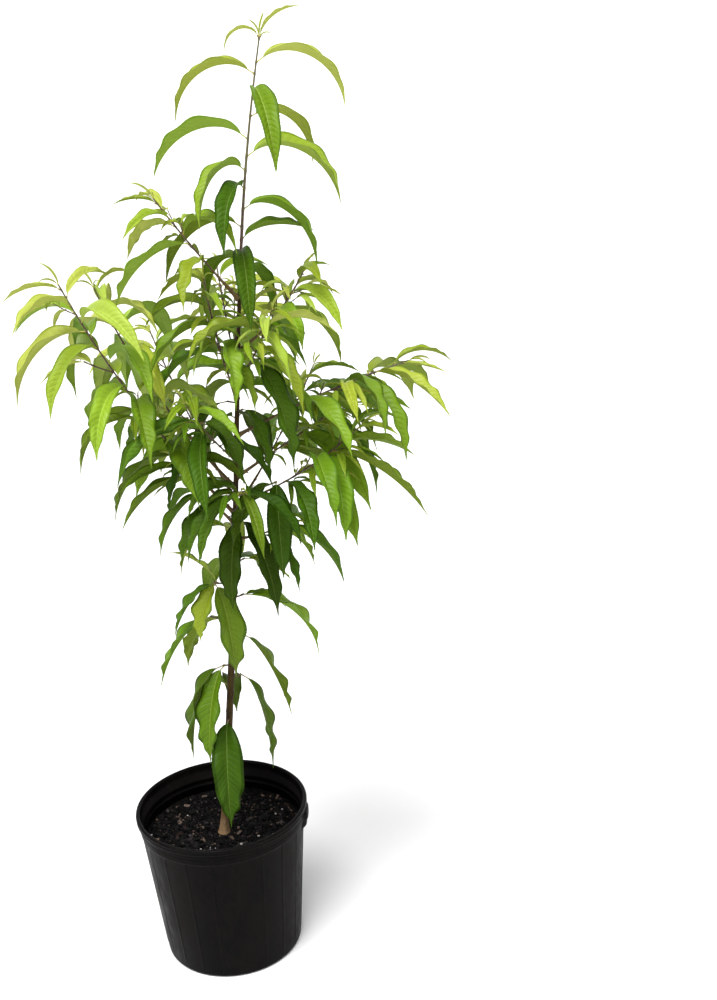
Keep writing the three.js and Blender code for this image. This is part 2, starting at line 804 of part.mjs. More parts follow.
const leaderLine = Array.from(
  { length: TRUNK.claims + 1 }, (_, i) => trunkLine(TRUNK.tipHeight * i / TRUNK.claims));
claimLimb(leaderLine, 'trunk', TRUNK.claimRadius, TRUNK.tipRadius);
const shoots = SHOOTS.map(layShoot);
growLeader();
SPURS.forEach(growSpur);
shoots.forEach((shoot, i) => growShoot(shoot, SEED + i));

addPart('pot', potGeometry(), COLOURS.plastic);
addPart('soil', soilGeometry(), COLOURS.mix);
addPart('trunk', trunkGeometry(0), COLOURS.bark);

const trunkSpace = toSolid(trunkGeometry(GAP));
for (const bough of boughs) addPart(bough.name, boughGeometry(bough, trunkSpace), COLOURS.shoot);
for (const mass of masses) addPart(mass.name, massGeometry(mass, trunkSpace), COLOURS.leaf);

export default tree;
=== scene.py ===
"""A dwarf peach tree in a round black nursery pot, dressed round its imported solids.

The trunk and the boughs get bark with relief. Each mass gets blades, leaf stalks, buds and twigs
that grow by the same rule as its solid, and then finer twigs within the same reach. The pot and
the mix get finer meshes. Growth is worked out in millimetres, from the same sizes as the solids,
and turned to metres when a mesh is made.
"""
import math
from types import SimpleNamespace as Sizes

import bpy
import numpy as np
from mathutils import Matrix, Vector, noise


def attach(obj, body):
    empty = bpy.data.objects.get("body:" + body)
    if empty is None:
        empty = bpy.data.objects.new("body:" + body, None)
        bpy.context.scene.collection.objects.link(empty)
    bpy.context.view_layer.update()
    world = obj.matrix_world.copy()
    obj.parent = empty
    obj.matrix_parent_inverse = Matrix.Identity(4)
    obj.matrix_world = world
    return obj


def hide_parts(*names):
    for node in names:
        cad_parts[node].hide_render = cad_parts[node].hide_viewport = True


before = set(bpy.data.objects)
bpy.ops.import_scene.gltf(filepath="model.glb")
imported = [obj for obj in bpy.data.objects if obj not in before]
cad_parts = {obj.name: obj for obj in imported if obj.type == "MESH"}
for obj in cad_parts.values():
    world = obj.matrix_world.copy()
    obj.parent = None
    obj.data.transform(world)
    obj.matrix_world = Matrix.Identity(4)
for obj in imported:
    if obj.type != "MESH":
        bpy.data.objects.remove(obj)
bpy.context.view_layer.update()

MM = 0.001

# ---------------------------------------------------------------- sizes of the solids, in mm

GAP = 0.3                        # clearance between a stem and the limb that carries it

POT = Sizes(
    height=207, rim_radius=112.5, lip_height=8.4, collar_height=16, collar_radius=108.6,
    collar_foot=107, base_radius=89.8, foot_bevel=5, wall=2.2, floor=3, lip_breadth=5.6)
SOIL = Sizes(level=171, edge_drop=4, flat_radius=30)
TRUNK = Sizes(
    tip_height=985, line_height=1008, lean=137, sway=12, sway_rise=2.5, foot_y=-12, fork_height=714,
    low_radius=5.3, fork_radius=2.2, tip_radius=1.2, flare_radius=3, flare_height=9,
    claim_radius=6, claims=60)
BOUGH = Sizes(foot_radius=2.6, end_radius=1.5)
STEM = Sizes(tip_radius=1.2, steps=12, claim_radius=2.3, claim_tip_radius=0.9)
TWIG = Sizes(
    chance=0.1, length=34, extra=16, spread=42, bend=12, lowest_rise=5, highest_rise=70,
    radius=1.3, tip_radius=1.1, steps=4, within_mass=2.0, first_leaf=0.97, next_leaf=0.3,
    leaf_turn=30, leaf_size=0.78, leaf_youth=(0.8, 0.36), youth_loss=0.42)

TURN = 144                       # degrees from one leaf to the next round a stem
TURN_TRIES = (0, 35, -35, 70, -70)
SEED = 20                        # of the first shoot

LEAF = Sizes(
    breadth=0.12, stalk=0.07, spread=58, fold=34, shade_fold=-10, tip_fall=-78, hang=0.7,
    lowest_rise=-5, highest_rise=62, checks=24)
YOUNG = Sizes(
    spread=-26, tip_lift=50, breadth=-0.026, length=-0.52, ageing=1.8, leaves=6, tips=4,
    from_height=480, full_height=540)
VARIED = Sizes(
    turn=14, length=0.12, spread=8, tip_fall=10, breadth=0.1, curl=24, roll=22, twist=40)
SPACE = Sizes(cell=9, between_masses=6, within_mass=3, root_stations=4)
CLAIM_COLUMNS = (-1, -0.5, 0, 0.5, 1)        # across a blade, where it claims its space
SHOOT = Sizes(
    first_leaf=4, leaf_offset=0.35, tip_inset=0.5, crowding=0.9, inner_shade=0.3, first_size=0.8,
    small_leaves=3, first_twig=2)
OUTLINE = Sizes(broadest=0.82, fullness=0.8, narrowing=0.22, greatest=0.905)     # of a blade

# Shoots: name, height of the foot above the soil, heading, rise at the foot and at the tip
# (degrees), whole length, bare length, leaves, heading of the tip leaf, leaf length.
SHOOTS = (
    ("left_long", 437, 190, 52, 68, 350, 95, 21, 180, 126),
    ("left_inner", 470, 166, 50, 70, 292, 95, 16, 10, 122),
    ("upper_left", 698, 182, 52, 58, 150, 50, 8, 200, 104),
    ("right_long", 535, -3, 25, 14, 224, 60, 13, -30, 124),
    ("right_mid", 483, 14, 26, 24, 190, 60, 11, 10, 122),
    ("right_low", 449, -16, 20, 42, 188, 60, 11, -90, 126),
    ("upper_right", 637, 8, 30, 60, 124, 45, 8, -10, 106),
    ("front_upright", 579, 222, 70, 84, 156, 40, 10, 215, 110),
    ("front_low", 462, 272, 14, 24, 100, 36, 6, 280, 102),
    ("front_left", 505, 240, 35, 50, 150, 38, 10, 250, 118),
    ("front_right", 600, 300, 40, 58, 130, 40, 8, 300, 112),
    ("left_low", 424, 214, 50, 58, 116, 38, 8, 190, 104),
    ("right_foot", 404, -24, 12, 22, 66, 30, 4, -40, 104),
    ("back_left", 455, 120, 42, 56, 250, 80, 13, 120, 120),
    ("back_mid", 515, 82, 38, 52, 240, 75, 12, 80, 120),
    ("back_right", 442, 48, 30, 44, 230, 75, 12, 50, 120),
    ("back_high", 610, 95, 42, 56, 150, 50, 9, 110, 110),
)

# Leaves of the leader: height above the soil, heading, rise at the root, length, fall at the tip.
LEADER_LEAVES = (
    (986, 5, 66, 56, 0), (984, 185, 58, 52, -86), (958, -4, 32, 124, -86),
    (946, 168, 36, 118, -84), (932, 275, 0, 126, -88), (901, 28, 20, 108, -88),
    (877, 170, 40, 128, -68), (858, 6, 32, 136, -80), (843, 222, 35, 112, -86),
    (823, 247, 30, 112, -88), (800, 8, 30, 122, -88), (780, 168, 40, 122, -74),
    (766, 16, 42, 90, -25), (750, 272, 30, 118, -88), (738, 120, 35, 112, -82),
    (724, 60, 35, 112, -82),
)
LEADER = Sizes(
    hang=0.8, low_hang=0.5, low_height=780, high_height=900, young_from=930, young_to=990,
    fold=32, stalk=0.08, curl=8, roll=14, twist=20, steps=12, tip_inset=0.8, foot_share=0.95,
    direction=(0.13, 0.0, 0.99), hanging_fall=-86.5, front=(200, 300))

# Spurs on the trunk: name, height above the soil, heading, stem length, then for each leaf
# its heading, rise at the root, length, fall at the tip, hang and half-breadth as a share.
SPURS = (
    ("spur_1", 164, 262, 8, ((260, 0, 136, -88, 0.3, 0.15),)),
    ("spur_2", 220, -7, 9, ((-10, -36, 134, -90, 0.2, 0.095),)),
    ("spur_3", 238, 220, 9, (
        (203, -6, 126, -88, 0.3, 0.145), (233, -10, 122, -88, 0.3, 0.14))),
    ("spur_4", 275, -4, 9, ((-8, -36, 122, -78, 0.3, 0.12),)),
    ("spur_5", 299, 186, 24, ((190, -10, 104, -72, 0.5, 0.13),)),
    ("spur_6", 328, -8, 9, (
        (-16, -4, 124, -88, 1.0, 0.13), (10, 4, 62, -55, 0.7, 0.14))),
    ("spur_7", 348, 212, 26, (
        (291, -16, 116, -90, 0.3, 0.155), (192, -12, 82, -72, 0.6, 0.13),
        (222, -25, 72, -84, 0.5, 0.19), (178, 62, 70, 12, 1.1, 0.13))),
    ("spur_8", 374, 4, 9, ((2, -8, 66, -56, 0.7, 0.14),)),
    ("spur_9", 428, -70, 9, (
        (-62, 8, 130, -88, 0.38, 0.1), (248, -5, 108, -88, 0.3, 0.14))),
    ("spur_10", 200, 95, 9, (
        (82, 12, 114, -84, 0.5, 0.11), (122, 8, 116, -84, 0.5, 0.115))),
    ("spur_11", 288, 110, 9, (
        (88, 15, 120, -82, 0.5, 0.115), (136, 10, 118, -80, 0.5, 0.115))),
    ("spur_12", 364, 85, 9, (
        (50, 16, 112, -82, 0.5, 0.12), (118, 12, 110, -80, 0.5, 0.12))),
    ("spur_13", 410, 110, 9, (
        (146, 20, 112, -80, 0.5, 0.12), (84, 12, 114, -82, 0.5, 0.12))),
    ("spur_14", 618, -50, 22, ((-60, 0, 138, -88, 0.35, 0.12),)),
    ("spur_15", 576, 200, 8, ((200, 0, 112, -88, 0.35, 0.12),)),
    ("spur_16", 566, -66, 10, ((-60, 5, 92, -88, 0.35, 0.125),)),
    ("spur_17", 464, -30, 54, (
        (-95, 0, 118, -88, 0.3, 0.13), (222, 5, 100, -70, 0.7, 0.12))),
    ("spur_18", 548, 227, 62, ((-60, 18, 104, -72, 0.6, 0.125),)),
    ("spur_19", 548, 84, 12, (
        (60, 12, 118, -84, 0.45, 0.12), (122, 12, 116, -82, 0.45, 0.12))),
)
SPUR = Sizes(
    rise=10, tip_rise=25, radius=1.5, tip_radius=1.3, steps=3, tip_inset=1, leaf_pitch=2,
    leaf_room=6, fold=18, stalk=0.09, curl=5, roll=12, twist=40)

# ---------------------------------------------------------------- tones of the leaves

# How light a leaf's tone is, from 0 for the oldest to 1 for the newest, with painted shade on the
# inner, low and front-hanging leaves and painted light on the outer and high ones.
LIGHT = Sizes(
    inner=0.28, outer=0.58, reach=90, high=0.28, from_height=540, full_height=680, young=0.18,
    young_reach=230, varied=0.17, twig=0.1, fine_twig=0.14, leader=0.60, leader_tip=0.90,
    leader_young=0.1, hanging=0.36, spur_low=0.14, spur_high=0.60, spur_from=150, spur_reach=200,
    spur_inner=0.18, inner_from=420)
# How much painted shade darkens a shoot's leaves beyond that, or below 0 how much painted light
# lightens them.
PAINTED_SHADE = {"front_low": 0.22, "front_left": 0.20, "left_low": 0.12, "left_inner": -0.12,
          "back_left": -0.16}
# The share of leaves in the greenest hue, from old to new, and of those in the middle hue.
HUE = Sizes(green=0.86, fade=0.62, young=0.45, spur_green=0.05, middle=0.35)
WAVE = Sizes(grown=0.11, old=0.26)           # height of an edge's waves, by half-breadth

# ---------------------------------------------------------------- sizes of the finer parts, in mm

BLADE = Sizes(
    full_length=110, smallest=0.35, thickness=0.36, rib_half=0.5, rib_taper=0.75, rib_margin=1.15,
    rib_depth=0.75, depth_taper=0.8, rib_groove=0.12, bulge=0.09, pucker=0.60, pucker_out=0.7,
    broad=1.06, tip_pinch=0.42, old_pinch=0.30, tip_reach=(0.70, 0.95), fold=7)
TOOTH = Sizes(size=0.42, lean=0.9, blunt=0.6, sharper=0.8, low=0.05, high=0.96)
EDGE_WAVE = Sizes(cycles=2.4, more_cycles=2.0, fade=0.5, left_lag=2.1)
ACROSS = (1.0, 0.8, 0.52, 0.24, 0.0)         # columns of a half-blade, from its edge to the rib
RIB_COLUMN = len(ACROSS) - 1
FACE_POINTS = 2 * len(ACROSS)                # across one face, from edge to edge
VEIN = Sizes(pitch=6.6, small_pitch=0.6, fewest=5, lean=0.95, rows=(0.0, 0.16, 0.44, 0.72),
             few_rows=(0.0, 0.5), few_below=0.6)       # of the full size of a leaf
FINE_LINE = 160                              # stations of the line that a blade is drawn from
LEAF_STALK = Sizes(radius=0.68, foot=1.15, rings=5, start=0.12, end=0.94, narrowing=6,
                   least=0.55, growth=0.45)
FINE_TWIG = Sizes(
    chance=0.80, thin_chance=0.25, least_grown=0.5, turn=50, forward=0.75, out=0.66,
    lowest_rise=5, highest_rise=75, bend=10, length=14, extra=16, radius=0.8, tip_radius=0.6,
    steps=3, between=4, within=2, leaves=3, first_leaf=0.98, next_leaf=0.32, leaf_turn=20,
    leaf=30, leaf_extra=20, young=0.75, ageing=0.2, shade=0.8)
THIN_SHOOTS = ("left_long", "left_inner", "back_left")     # with fewer fine twigs
BUD = Sizes(
    length=3.2, radius=0.85, out=0.9, forward=0.8, outward=0.6, sides=6,
    places=(0.0, 0.3, 0.6, 0.85, 1.0), breadths=(0.6, 1.0, 0.8, 0.4, 0.08))
UNFOLDING = Sizes(
    lengths=(32, 24, 15), spread=0.25, next_spread=0.2, breadth=0.08, turn=60, next_turn=120,
    extra_turn=40, inset=0.8, fall=50, next_fall=20, fold=58, stalk=0.1, hang=1.2, curl=0.3,
    twist=0.4, wave=0.04)
NODE = Sizes(swell=0.35, reach=2.2)
STEM_STEP = 2.5
SLIM = 0.72                      # a dressed stem's radius, as a share of its solid's
STEM_SIDES = 10
STEM_TINT = Sizes(under=-0.35, green_from=0.8, leader_green_from=0.35, patch=0.12)
BARK = Sizes(step=2.0, past_end=0.01, sides=32, below=2, wander=0.22, grain=4.0, stretch=5)
BUMP_REACHES = 3                 # as far as a scar or a lenticel is felt, in its own reaches
SCAR = Sizes(first=30, pitch=24, turn=20, height=0.55, reach=2.4, spread=0.55)
LENTICEL = Sizes(count=420, height=0.16, reach=0.7, spread=0.16, more_spread=0.16)
BOUGH_BARK = Sizes(
    sides=14, step=1.5, foot=1.0, collar=1.7, collar_reach=3.6, collar_flat=0.6, wander=0.1,
    grain=2.0, around=1.3, apart=9.0, stretch=3)
BOUGH_BUD = Sizes(first=14, end_gap=3, pitch=17, out=1.2)
RELIEF = Sizes(roughness=0.9, finer=2.1, octaves=4)

# ---------------------------------------------------------------- growth

rad = math.radians


def dice(a, b, c=0):
    """A number from 0 to 1 that three whole numbers fix, so that growth repeats exactly.

    The numbers only tell one draw from another, and mean nothing else.
    """
    v = math.sin(a * 12.9898 + b * 78.233 + c * 37.719) * 43758.5453
    return v - math.floor(v)


def vary(spread, a, b, c=0):
    """A number from minus to plus the spread, fixed in the same way."""
    return spread * (2 * dice(a, b, c) - 1)


def clamp(value, low, high):
    return min(max(value, low), high)


def smooth_step(x, low, high):
    t = np.clip((x - low) / (high - low), 0, 1)
    return t * t * (3 - 2 * t)


def unit(v):
    return v / np.linalg.norm(v)


def heading(turn, rise):
    """The direction, or a row of them, at a turn round Z and a rise above the level."""
    turn, rise = np.broadcast_arrays(turn, rise)
    return np.stack([np.cos(rise) * np.cos(turn), np.cos(rise) * np.sin(turn), np.sin(rise)], -1)


def heading_of(direction):
    return math.atan2(direction[1], direction[0])


def rise_of(direction):
    return math.asin(clamp(direction[2], -1, 1))


def trunk_line(h):
    """The trunk's centre line at a height, or a row of heights, above the soil."""
    s = np.asarray(h, float) / TRUNK.line_height
    bow = TRUNK.sway * np.sin(np.pi * np.clip(s, 0, 1) ** TRUNK.sway_rise)
    return np.stack([TRUNK.lean * s - bow, TRUNK.foot_y * (1 - s),
                     SOIL.level + s * TRUNK.line_height], -1)


def trunk_radius(h):
    """The trunk's radius at a height above the soil, with the flare at its foot."""
    taper = TRUNK.low_radius + (TRUNK.fork_radius - TRUNK.low_radius) * h / TRUNK.fork_height
    return taper + TRUNK.flare_radius * np.exp(-h / TRUNK.flare_height)


def limb_line(start, turn, rise, tip_rise, length, steps):
    """A limb's centre line in equal steps, while its rise goes from one angle to another."""
    t = (np.arange(steps) + 0.5) / steps
    moves = heading(rad(turn), np.radians(rise + (tip_rise - rise) * t)) * (length / steps)
    return start + np.vstack([np.zeros(3), np.cumsum(moves, axis=0)])


def along(points, distance):
    """The point and the direction at a distance along a line of equal steps."""
    step = np.linalg.norm(points[1] - points[0])
    i = min(int(distance // step), len(points) - 2)
    at = points[i] + (points[i + 1] - points[i]) * (distance / step - i)
    return at, unit(points[i + 1] - points[i])


NEARLY_ALONG = 0.3               # a heading that leans this little off the stem gives way to up


def outward(stem_direction, turn):
    """A direction square to the stem, as near as can be to a compass heading."""
    out = heading(rad(turn), 0.0)
    out = out - stem_direction * stem_direction.dot(out)
    if np.linalg.norm(out) < NEARLY_ALONG:
        out = np.array([0.0, 0.0, 1.0]) - stem_direction * stem_direction[2]
    return unit(out)


class Space:
    """Points that limbs and blades have claimed, each with its owner and its radius."""

    def __init__(self):
        self.points = np.empty((0, 3))
        self.owners = np.empty(0, dtype="U24")
        self.radii = np.empty(0)

    def claim(self, points, owner, radii=0.0):
        self.points = np.vstack([self.points, points])
        self.owners = np.append(self.owners, np.full(len(points), owner, dtype="U24"))
        self.radii = np.append(self.radii, np.broadcast_to(radii, len(points)))

    def is_free(self, points, owner, gap, own_gap):
        """Whether the points keep one gap to what others claimed, and another to the owner's."""
        low, high = points.min(0) - 2 * SPACE.cell, points.max(0) + 2 * SPACE.cell
        near = np.all((self.points > low) & (self.points < high), axis=1)
        claimed, theirs = self.points[near], self.owners[near] != owner
        apart = np.linalg.norm(points[:, None] - claimed[None], axis=2)
        reach = np.where(theirs[None], gap, np.reshape(own_gap, (-1, 1))) + self.radii[near][None]
        cells = np.floor(points / SPACE.cell)[:, None] - np.floor(claimed / SPACE.cell)[None]
        beside = np.all(np.abs(cells) <= 1, axis=2)
        return not np.any(beside & (apart < reach))


space = Space()
LIMB_CLAIMS = 3                  # claims in each step of a limb
LIMB_ALLOWANCE = 2               # a limb claims this much less than its radius


def claim_limb(points, owner, radius, tip_radius):
    """Claims the space along a limb, whose radius changes evenly from foot to tip."""
    steps = len(points) - 1
    t = np.arange(steps * LIMB_CLAIMS) / LIMB_CLAIMS
    i = t.astype(int)
    at = points[i] + (points[i + 1] - points[i]) * (t - i)[:, None]
    space.claim(at, owner, radius + (tip_radius - radius) * t / steps - LIMB_ALLOWANCE)


def blade_outline(t):
    """Half-breadth of a blade at t, as a share of its greatest half-breadth."""
    t = np.clip(t, 0, 1)
    swell = np.sin(np.pi * t ** OUTLINE.broadest).clip(0) ** OUTLINE.fullness
    return swell * (1 - OUTLINE.narrowing * t) / OUTLINE.greatest


def blade_line(root, shape, checks):
    """A blade's midrib points, side, up and forward directions and half-breadths, as rows."""
    def rise_at(t):
        return shape.rise + (shape.tip_fall - shape.rise) * t ** shape.hang

    t = np.arange(checks + 1) / checks
    middle = (np.arange(checks) + 0.5) / checks
    moves = heading(shape.turn + shape.curl * middle, rise_at(middle)) * (shape.length / checks)
    foot = root + heading(shape.turn, shape.rise) * shape.stalk
    at = foot + np.vstack([np.zeros(3), np.cumsum(moves, axis=0)])
    turn = shape.turn + shape.curl * t
    forward = heading(turn, rise_at(t))
    level = np.stack([-np.sin(turn), np.cos(turn), 0 * turn], -1)
    over = np.cross(forward, level)
    tilt = (shape.roll + shape.twist * t)[:, None]
    side = level * np.cos(tilt) + over * np.sin(tilt)
    half = shape.half * blade_outline(t)
    return Sizes(t=t, at=at, side=side, up=np.cross(forward, side), forward=forward, half=half)


def place(mass, root, shape, must_fit, gap=SPACE.between_masses, own_gap=SPACE.within_mass):
    """Sets a blade and claims its space, unless it must fit and something is in its way."""
    line = blade_line(root, shape, LEAF.checks)
    x = np.array(CLAIM_COLUMNS)[None, :, None]
    half = line.half[:, None, None]
    points = (line.at[:, None] + line.side[:, None] * (half * x * math.cos(shape.fold))
              + line.up[:, None] * (half * np.abs(x) * math.sin(shape.fold))).reshape(-1, 3)
    own_gaps = np.full((LEAF.checks + 1, len(CLAIM_COLUMNS)), float(own_gap))
    own_gaps[:SPACE.root_stations] = -np.inf
    if must_fit and not space.is_free(points, mass.name, gap, own_gaps.ravel()):
        return False
    space.claim(points, mass.name)
    mass.leaves.append(Sizes(root=root, shape=shape))
    return True


def leaf_on_stem(mass, at, direction, leaf, **gaps):
    """One leaf on a stem. A young leaf is shorter, narrower and holds itself up."""
    seed, index, young = leaf.seed, leaf.index, leaf.young
    for extra in TURN_TRIES:
        out = outward(direction, leaf.turn + extra)
        spread = rad(LEAF.spread + YOUNG.spread * young + vary(VARIED.spread, seed, index, 3))
        aim = direction * math.cos(spread) + out * math.sin(spread)
        breadth = LEAF.breadth + YOUNG.breadth * young
        shape = Sizes(
            turn=heading_of(aim),
            rise=clamp(rise_of(aim), rad(LEAF.lowest_rise), rad(LEAF.highest_rise)),
            tip_fall=rad(LEAF.tip_fall + YOUNG.tip_lift * young
                         + vary(VARIED.tip_fall, seed, index, 4)),
            length=leaf.length,
            half=leaf.length * breadth * (1 + vary(VARIED.breadth, seed, index, 5)),
            hang=LEAF.hang,
            curl=rad(vary(VARIED.curl, seed, index, 6)),
            roll=rad(vary(VARIED.roll, seed, index, 7)),
            twist=rad(vary(VARIED.twist, seed, index, 8)),
            fold=rad(LEAF.fold + LEAF.shade_fold * (1 - leaf.shade)),
            stalk=leaf.length * LEAF.stalk,
            light=leaf.light, green=green_share(leaf.light, young), wave=leaf.wave,
            seed=seed * 100 + index)
        if place(mass, at, shape, True, **gaps):
            return True
    return False


masses = []
boughs = []


def new_mass(name):
    mass = Sizes(name=name, stems=[], leaves=[], nodes=[])
    masses.append(mass)
    return mass


def add_stem_line(mass, points, size):
    """Adds a twig or spur to a mass and claims its space, apart from where it is rooted."""
    claim_limb(points[1:], mass.name, size.radius, size.tip_radius)
    mass.stems.append(Sizes(points=points, radius=size.radius, tip_radius=size.tip_radius,
                            leads=False))


def twig_line(at, aim, length, size):
    """A twig's centre line, which sets out near to its aim and bends up."""
    rise = clamp(math.degrees(rise_of(aim)), size.lowest_rise, size.highest_rise)
    return limb_line(at, math.degrees(heading_of(aim)), rise, rise + size.bend, length, size.steps)


def side_twig(mass, at, direction, twig):
    """Grows a twig with its leaves where a leaf would be, if its line finds free space."""
    out = outward(direction, twig.turn)
    aim = direction * math.cos(rad(TWIG.spread)) + out * math.sin(rad(TWIG.spread))
    length = TWIG.length + TWIG.extra * dice(twig.seed, twig.index, 10)
    points = twig_line(at, aim, length, TWIG)
    if not space.is_free(points[2:], mass.name, SPACE.cell, TWIG.within_mass):
        return False
    add_stem_line(mass, points, TWIG)
    for j, young in enumerate(TWIG.leaf_youth):
        where, towards = along(points, length * (TWIG.first_leaf - TWIG.next_leaf * j))
        leaf_on_stem(mass, where, towards, Sizes(
            turn=twig.turn + TWIG.leaf_turn - TURN * j,
            length=twig.leaf_length * (TWIG.leaf_size - TWIG.youth_loss * young),
            young=young, shade=twig.shade, light=twig.light + LIGHT.twig, wave=twig.wave,
            seed=twig.seed + j * 3, index=twig.index + 40))
    return True


def lay_shoot(row):
    """A shoot's limb, whose space is claimed before any leaf is set."""
    name, height, turn, rise, tip_rise, length, bare, leaves, tip_turn, leaf_length = row
    points = limb_line(trunk_line(height), turn, rise, tip_rise, length, STEM.steps)
    claim_limb(points[1:], name, STEM.claim_radius, STEM.claim_tip_radius)
    return Sizes(name=name, points=points, length=length, bare=bare, leaves=leaves,
                 tip_turn=tip_turn, leaf_length=leaf_length)


CUT_MARGIN = 0.2                 # least gap from a cut to the line's next point, in steps


def cut_line(points, start, end):
    """The part of a line between two distances along it."""
    step = np.linalg.norm(points[1] - points[0])
    kept = [p for i, p in enumerate(points)
            if start + CUT_MARGIN * step < i * step < end - CUT_MARGIN * step]
    return np.array([along(points, start)[0], *kept, along(points, end)[0]])


def grow_shoot(shoot, seed):
    """Sets a shoot's leaves and side twigs from its tip back to its bare foot."""
    mass = new_mass(shoot.name)
    boughs.append(Sizes(name=shoot.name + "_bough", points=shoot.points, bare=shoot.bare))
    mass.stems.append(Sizes(
        points=cut_line(shoot.points, shoot.bare + GAP, shoot.length),
        radius=BOUGH.end_radius, tip_radius=STEM.tip_radius, leads=False))
    tip_height = shoot.points[-1][2] - SOIL.level
    youth = clamp(
        (tip_height - YOUNG.from_height) / (YOUNG.full_height - YOUNG.from_height), 0, 1)
    first = shoot.bare + SHOOT.first_leaf
    for i in reversed(range(shoot.leaves)):
        t = (i + SHOOT.leaf_offset) / shoot.leaves
        distance = min(first + (shoot.length - first) * t ** SHOOT.crowding,
                       shoot.length - SHOOT.tip_inset)
        at, direction = along(shoot.points, distance)
        young = clamp((i + YOUNG.leaves - shoot.leaves) / (YOUNG.leaves - 1), 0, 1) * youth
        turn = (shoot.tip_turn - TURN * (shoot.leaves - 1 - i)
                + vary(VARIED.turn, seed, i, 2))
        shade = SHOOT.inner_shade + (1 - SHOOT.inner_shade) * t
        inner = (SHOOT.first_size
                 + (1 - SHOOT.first_size) * min(1, (i + 1) / SHOOT.small_leaves))
        # Painted light and shade from where the leaf sits, and the shoot's own painted shade, on
        # top of its youth.
        light = (painted_light_and_youth(at, young) - PAINTED_SHADE.get(shoot.name, 0)
                 + vary(LIGHT.varied, seed, i, 12))
        wave = WAVE.grown + (WAVE.old - WAVE.grown) * (1 - t)
        wants_twig = (SHOOT.first_twig <= i < shoot.leaves - YOUNG.tips
                      and dice(seed, i, 9) < TWIG.chance)
        twig = Sizes(turn=turn, leaf_length=shoot.leaf_length, shade=shade, light=light,
                     wave=wave, seed=seed, index=i)
        mass.nodes.append(Sizes(at=at, direction=direction, turn=turn, seed=seed, index=i,
                                light=light, grown=1 - young))
        if wants_twig and side_twig(mass, at, direction, twig):
            continue
        leaf_on_stem(mass, at, direction, Sizes(
            turn=turn,
            length=shoot.leaf_length * (1 + YOUNG.length * young ** YOUNG.ageing)
            * (1 + vary(VARIED.length, seed, i, 1)) * inner,
            young=young, shade=shade, light=light, wave=wave, seed=seed, index=i))


def grow_leader():
    """The trunk's leafy top, whose leaves are listed one by one."""
    mass = new_mass("crown_top")
    foot = TRUNK.fork_height + GAP
    heights = np.linspace(foot, TRUNK.tip_height, LEADER.steps + 1)
    mass.stems.append(Sizes(
        points=trunk_line(heights), radius=TRUNK.fork_radius / SLIM * LEADER.foot_share,
        tip_radius=TRUNK.tip_radius, leads=True))
    for k, (height, turn, rise, length, fall) in enumerate(LEADER_LEAVES):
        young = clamp((height - LEADER.young_from) / (LEADER.young_to - LEADER.young_from), 0, 1)
        high = clamp((height - LEADER.low_height)
                     / (LEADER.high_height - LEADER.low_height), 0, 1)
        root = trunk_line(min(height, TRUNK.tip_height - LEADER.tip_inset))
        # Painted light: the higher leaves of the leader are painted lighter, and those hanging down
        # in front, turned away from the sky, get painted shade.
        light = (LIGHT.leader + (LIGHT.leader_tip - LIGHT.leader) * high
                 + LIGHT.leader_young * young)
        hangs_in_front = (fall < LEADER.hanging_fall
                          and LEADER.front[0] < turn < LEADER.front[1])
        leaf_painted_light = light - LIGHT.hanging if hangs_in_front else light
        place(mass, root, Sizes(
            turn=rad(turn), rise=rad(rise), tip_fall=rad(fall), length=length,
            half=length * (LEAF.breadth + YOUNG.breadth * young),
            hang=LEADER.low_hang + (LEADER.hang - LEADER.low_hang) * high,
            curl=rad(vary(LEADER.curl, 90, k)), roll=rad(vary(LEADER.roll, 91, k)),
            twist=rad(vary(LEADER.twist, 92, k)), fold=rad(LEADER.fold),
            stalk=length * LEADER.stalk, light=leaf_painted_light, green=green_share(leaf_painted_light, 0),
            wave=WAVE.grown, seed=9000 + k), False)
        mass.nodes.append(Sizes(at=root, direction=np.array(LEADER.direction), turn=turn,
                                seed=60, index=k, light=light, grown=0))


def grow_spur(row):
    """A short stem on the trunk, whose leaves are listed one by one."""
    name, height, turn, stem_length, leaves = row
    mass = new_mass(name)
    length = stem_length + TRUNK.low_radius
    points = limb_line(trunk_line(height), turn, SPUR.rise, SPUR.tip_rise, length, SPUR.steps)
    add_stem_line(mass, points, SPUR)
    for k, (leaf_turn, rise, leaf_length, fall, hang, breadth) in enumerate(leaves):
        inset = SPUR.tip_inset + min(SPUR.leaf_pitch * k, SPUR.leaf_room)
        root = along(points, length - inset)[0]
        place(mass, root, Sizes(
            turn=rad(leaf_turn), rise=rad(rise), tip_fall=rad(fall), length=leaf_length,
            half=leaf_length * breadth, hang=hang,
            curl=rad(vary(SPUR.curl, 93, k + height)),
            roll=rad(vary(SPUR.roll, 94, k + height)),
            twist=rad(vary(SPUR.twist, 95, k + height)), fold=rad(SPUR.fold),
            stalk=leaf_length * SPUR.stalk,
            # painted light and shade by the spur's height
            light=spur_painted_light(height) + vary(LIGHT.varied, 96, k + height),
            green=HUE.spur_green, wave=WAVE.old, seed=height * 10 + k), False)


def green_share(light, young):
    """How likely a leaf is to have the greenest hue."""
    return HUE.green - HUE.fade * light - HUE.young * young


def spur_painted_light(height):
    """Painted light and shade: spurs are painted lighter up the trunk as far as the boughs, and
    painted dark in the shade between them.
    """
    if height > LIGHT.inner_from:
        return LIGHT.spur_inner
    up = clamp((height - LIGHT.spur_from) / LIGHT.spur_reach, 0, 1)
    return LIGHT.spur_low + (LIGHT.spur_high - LIGHT.spur_low) * up


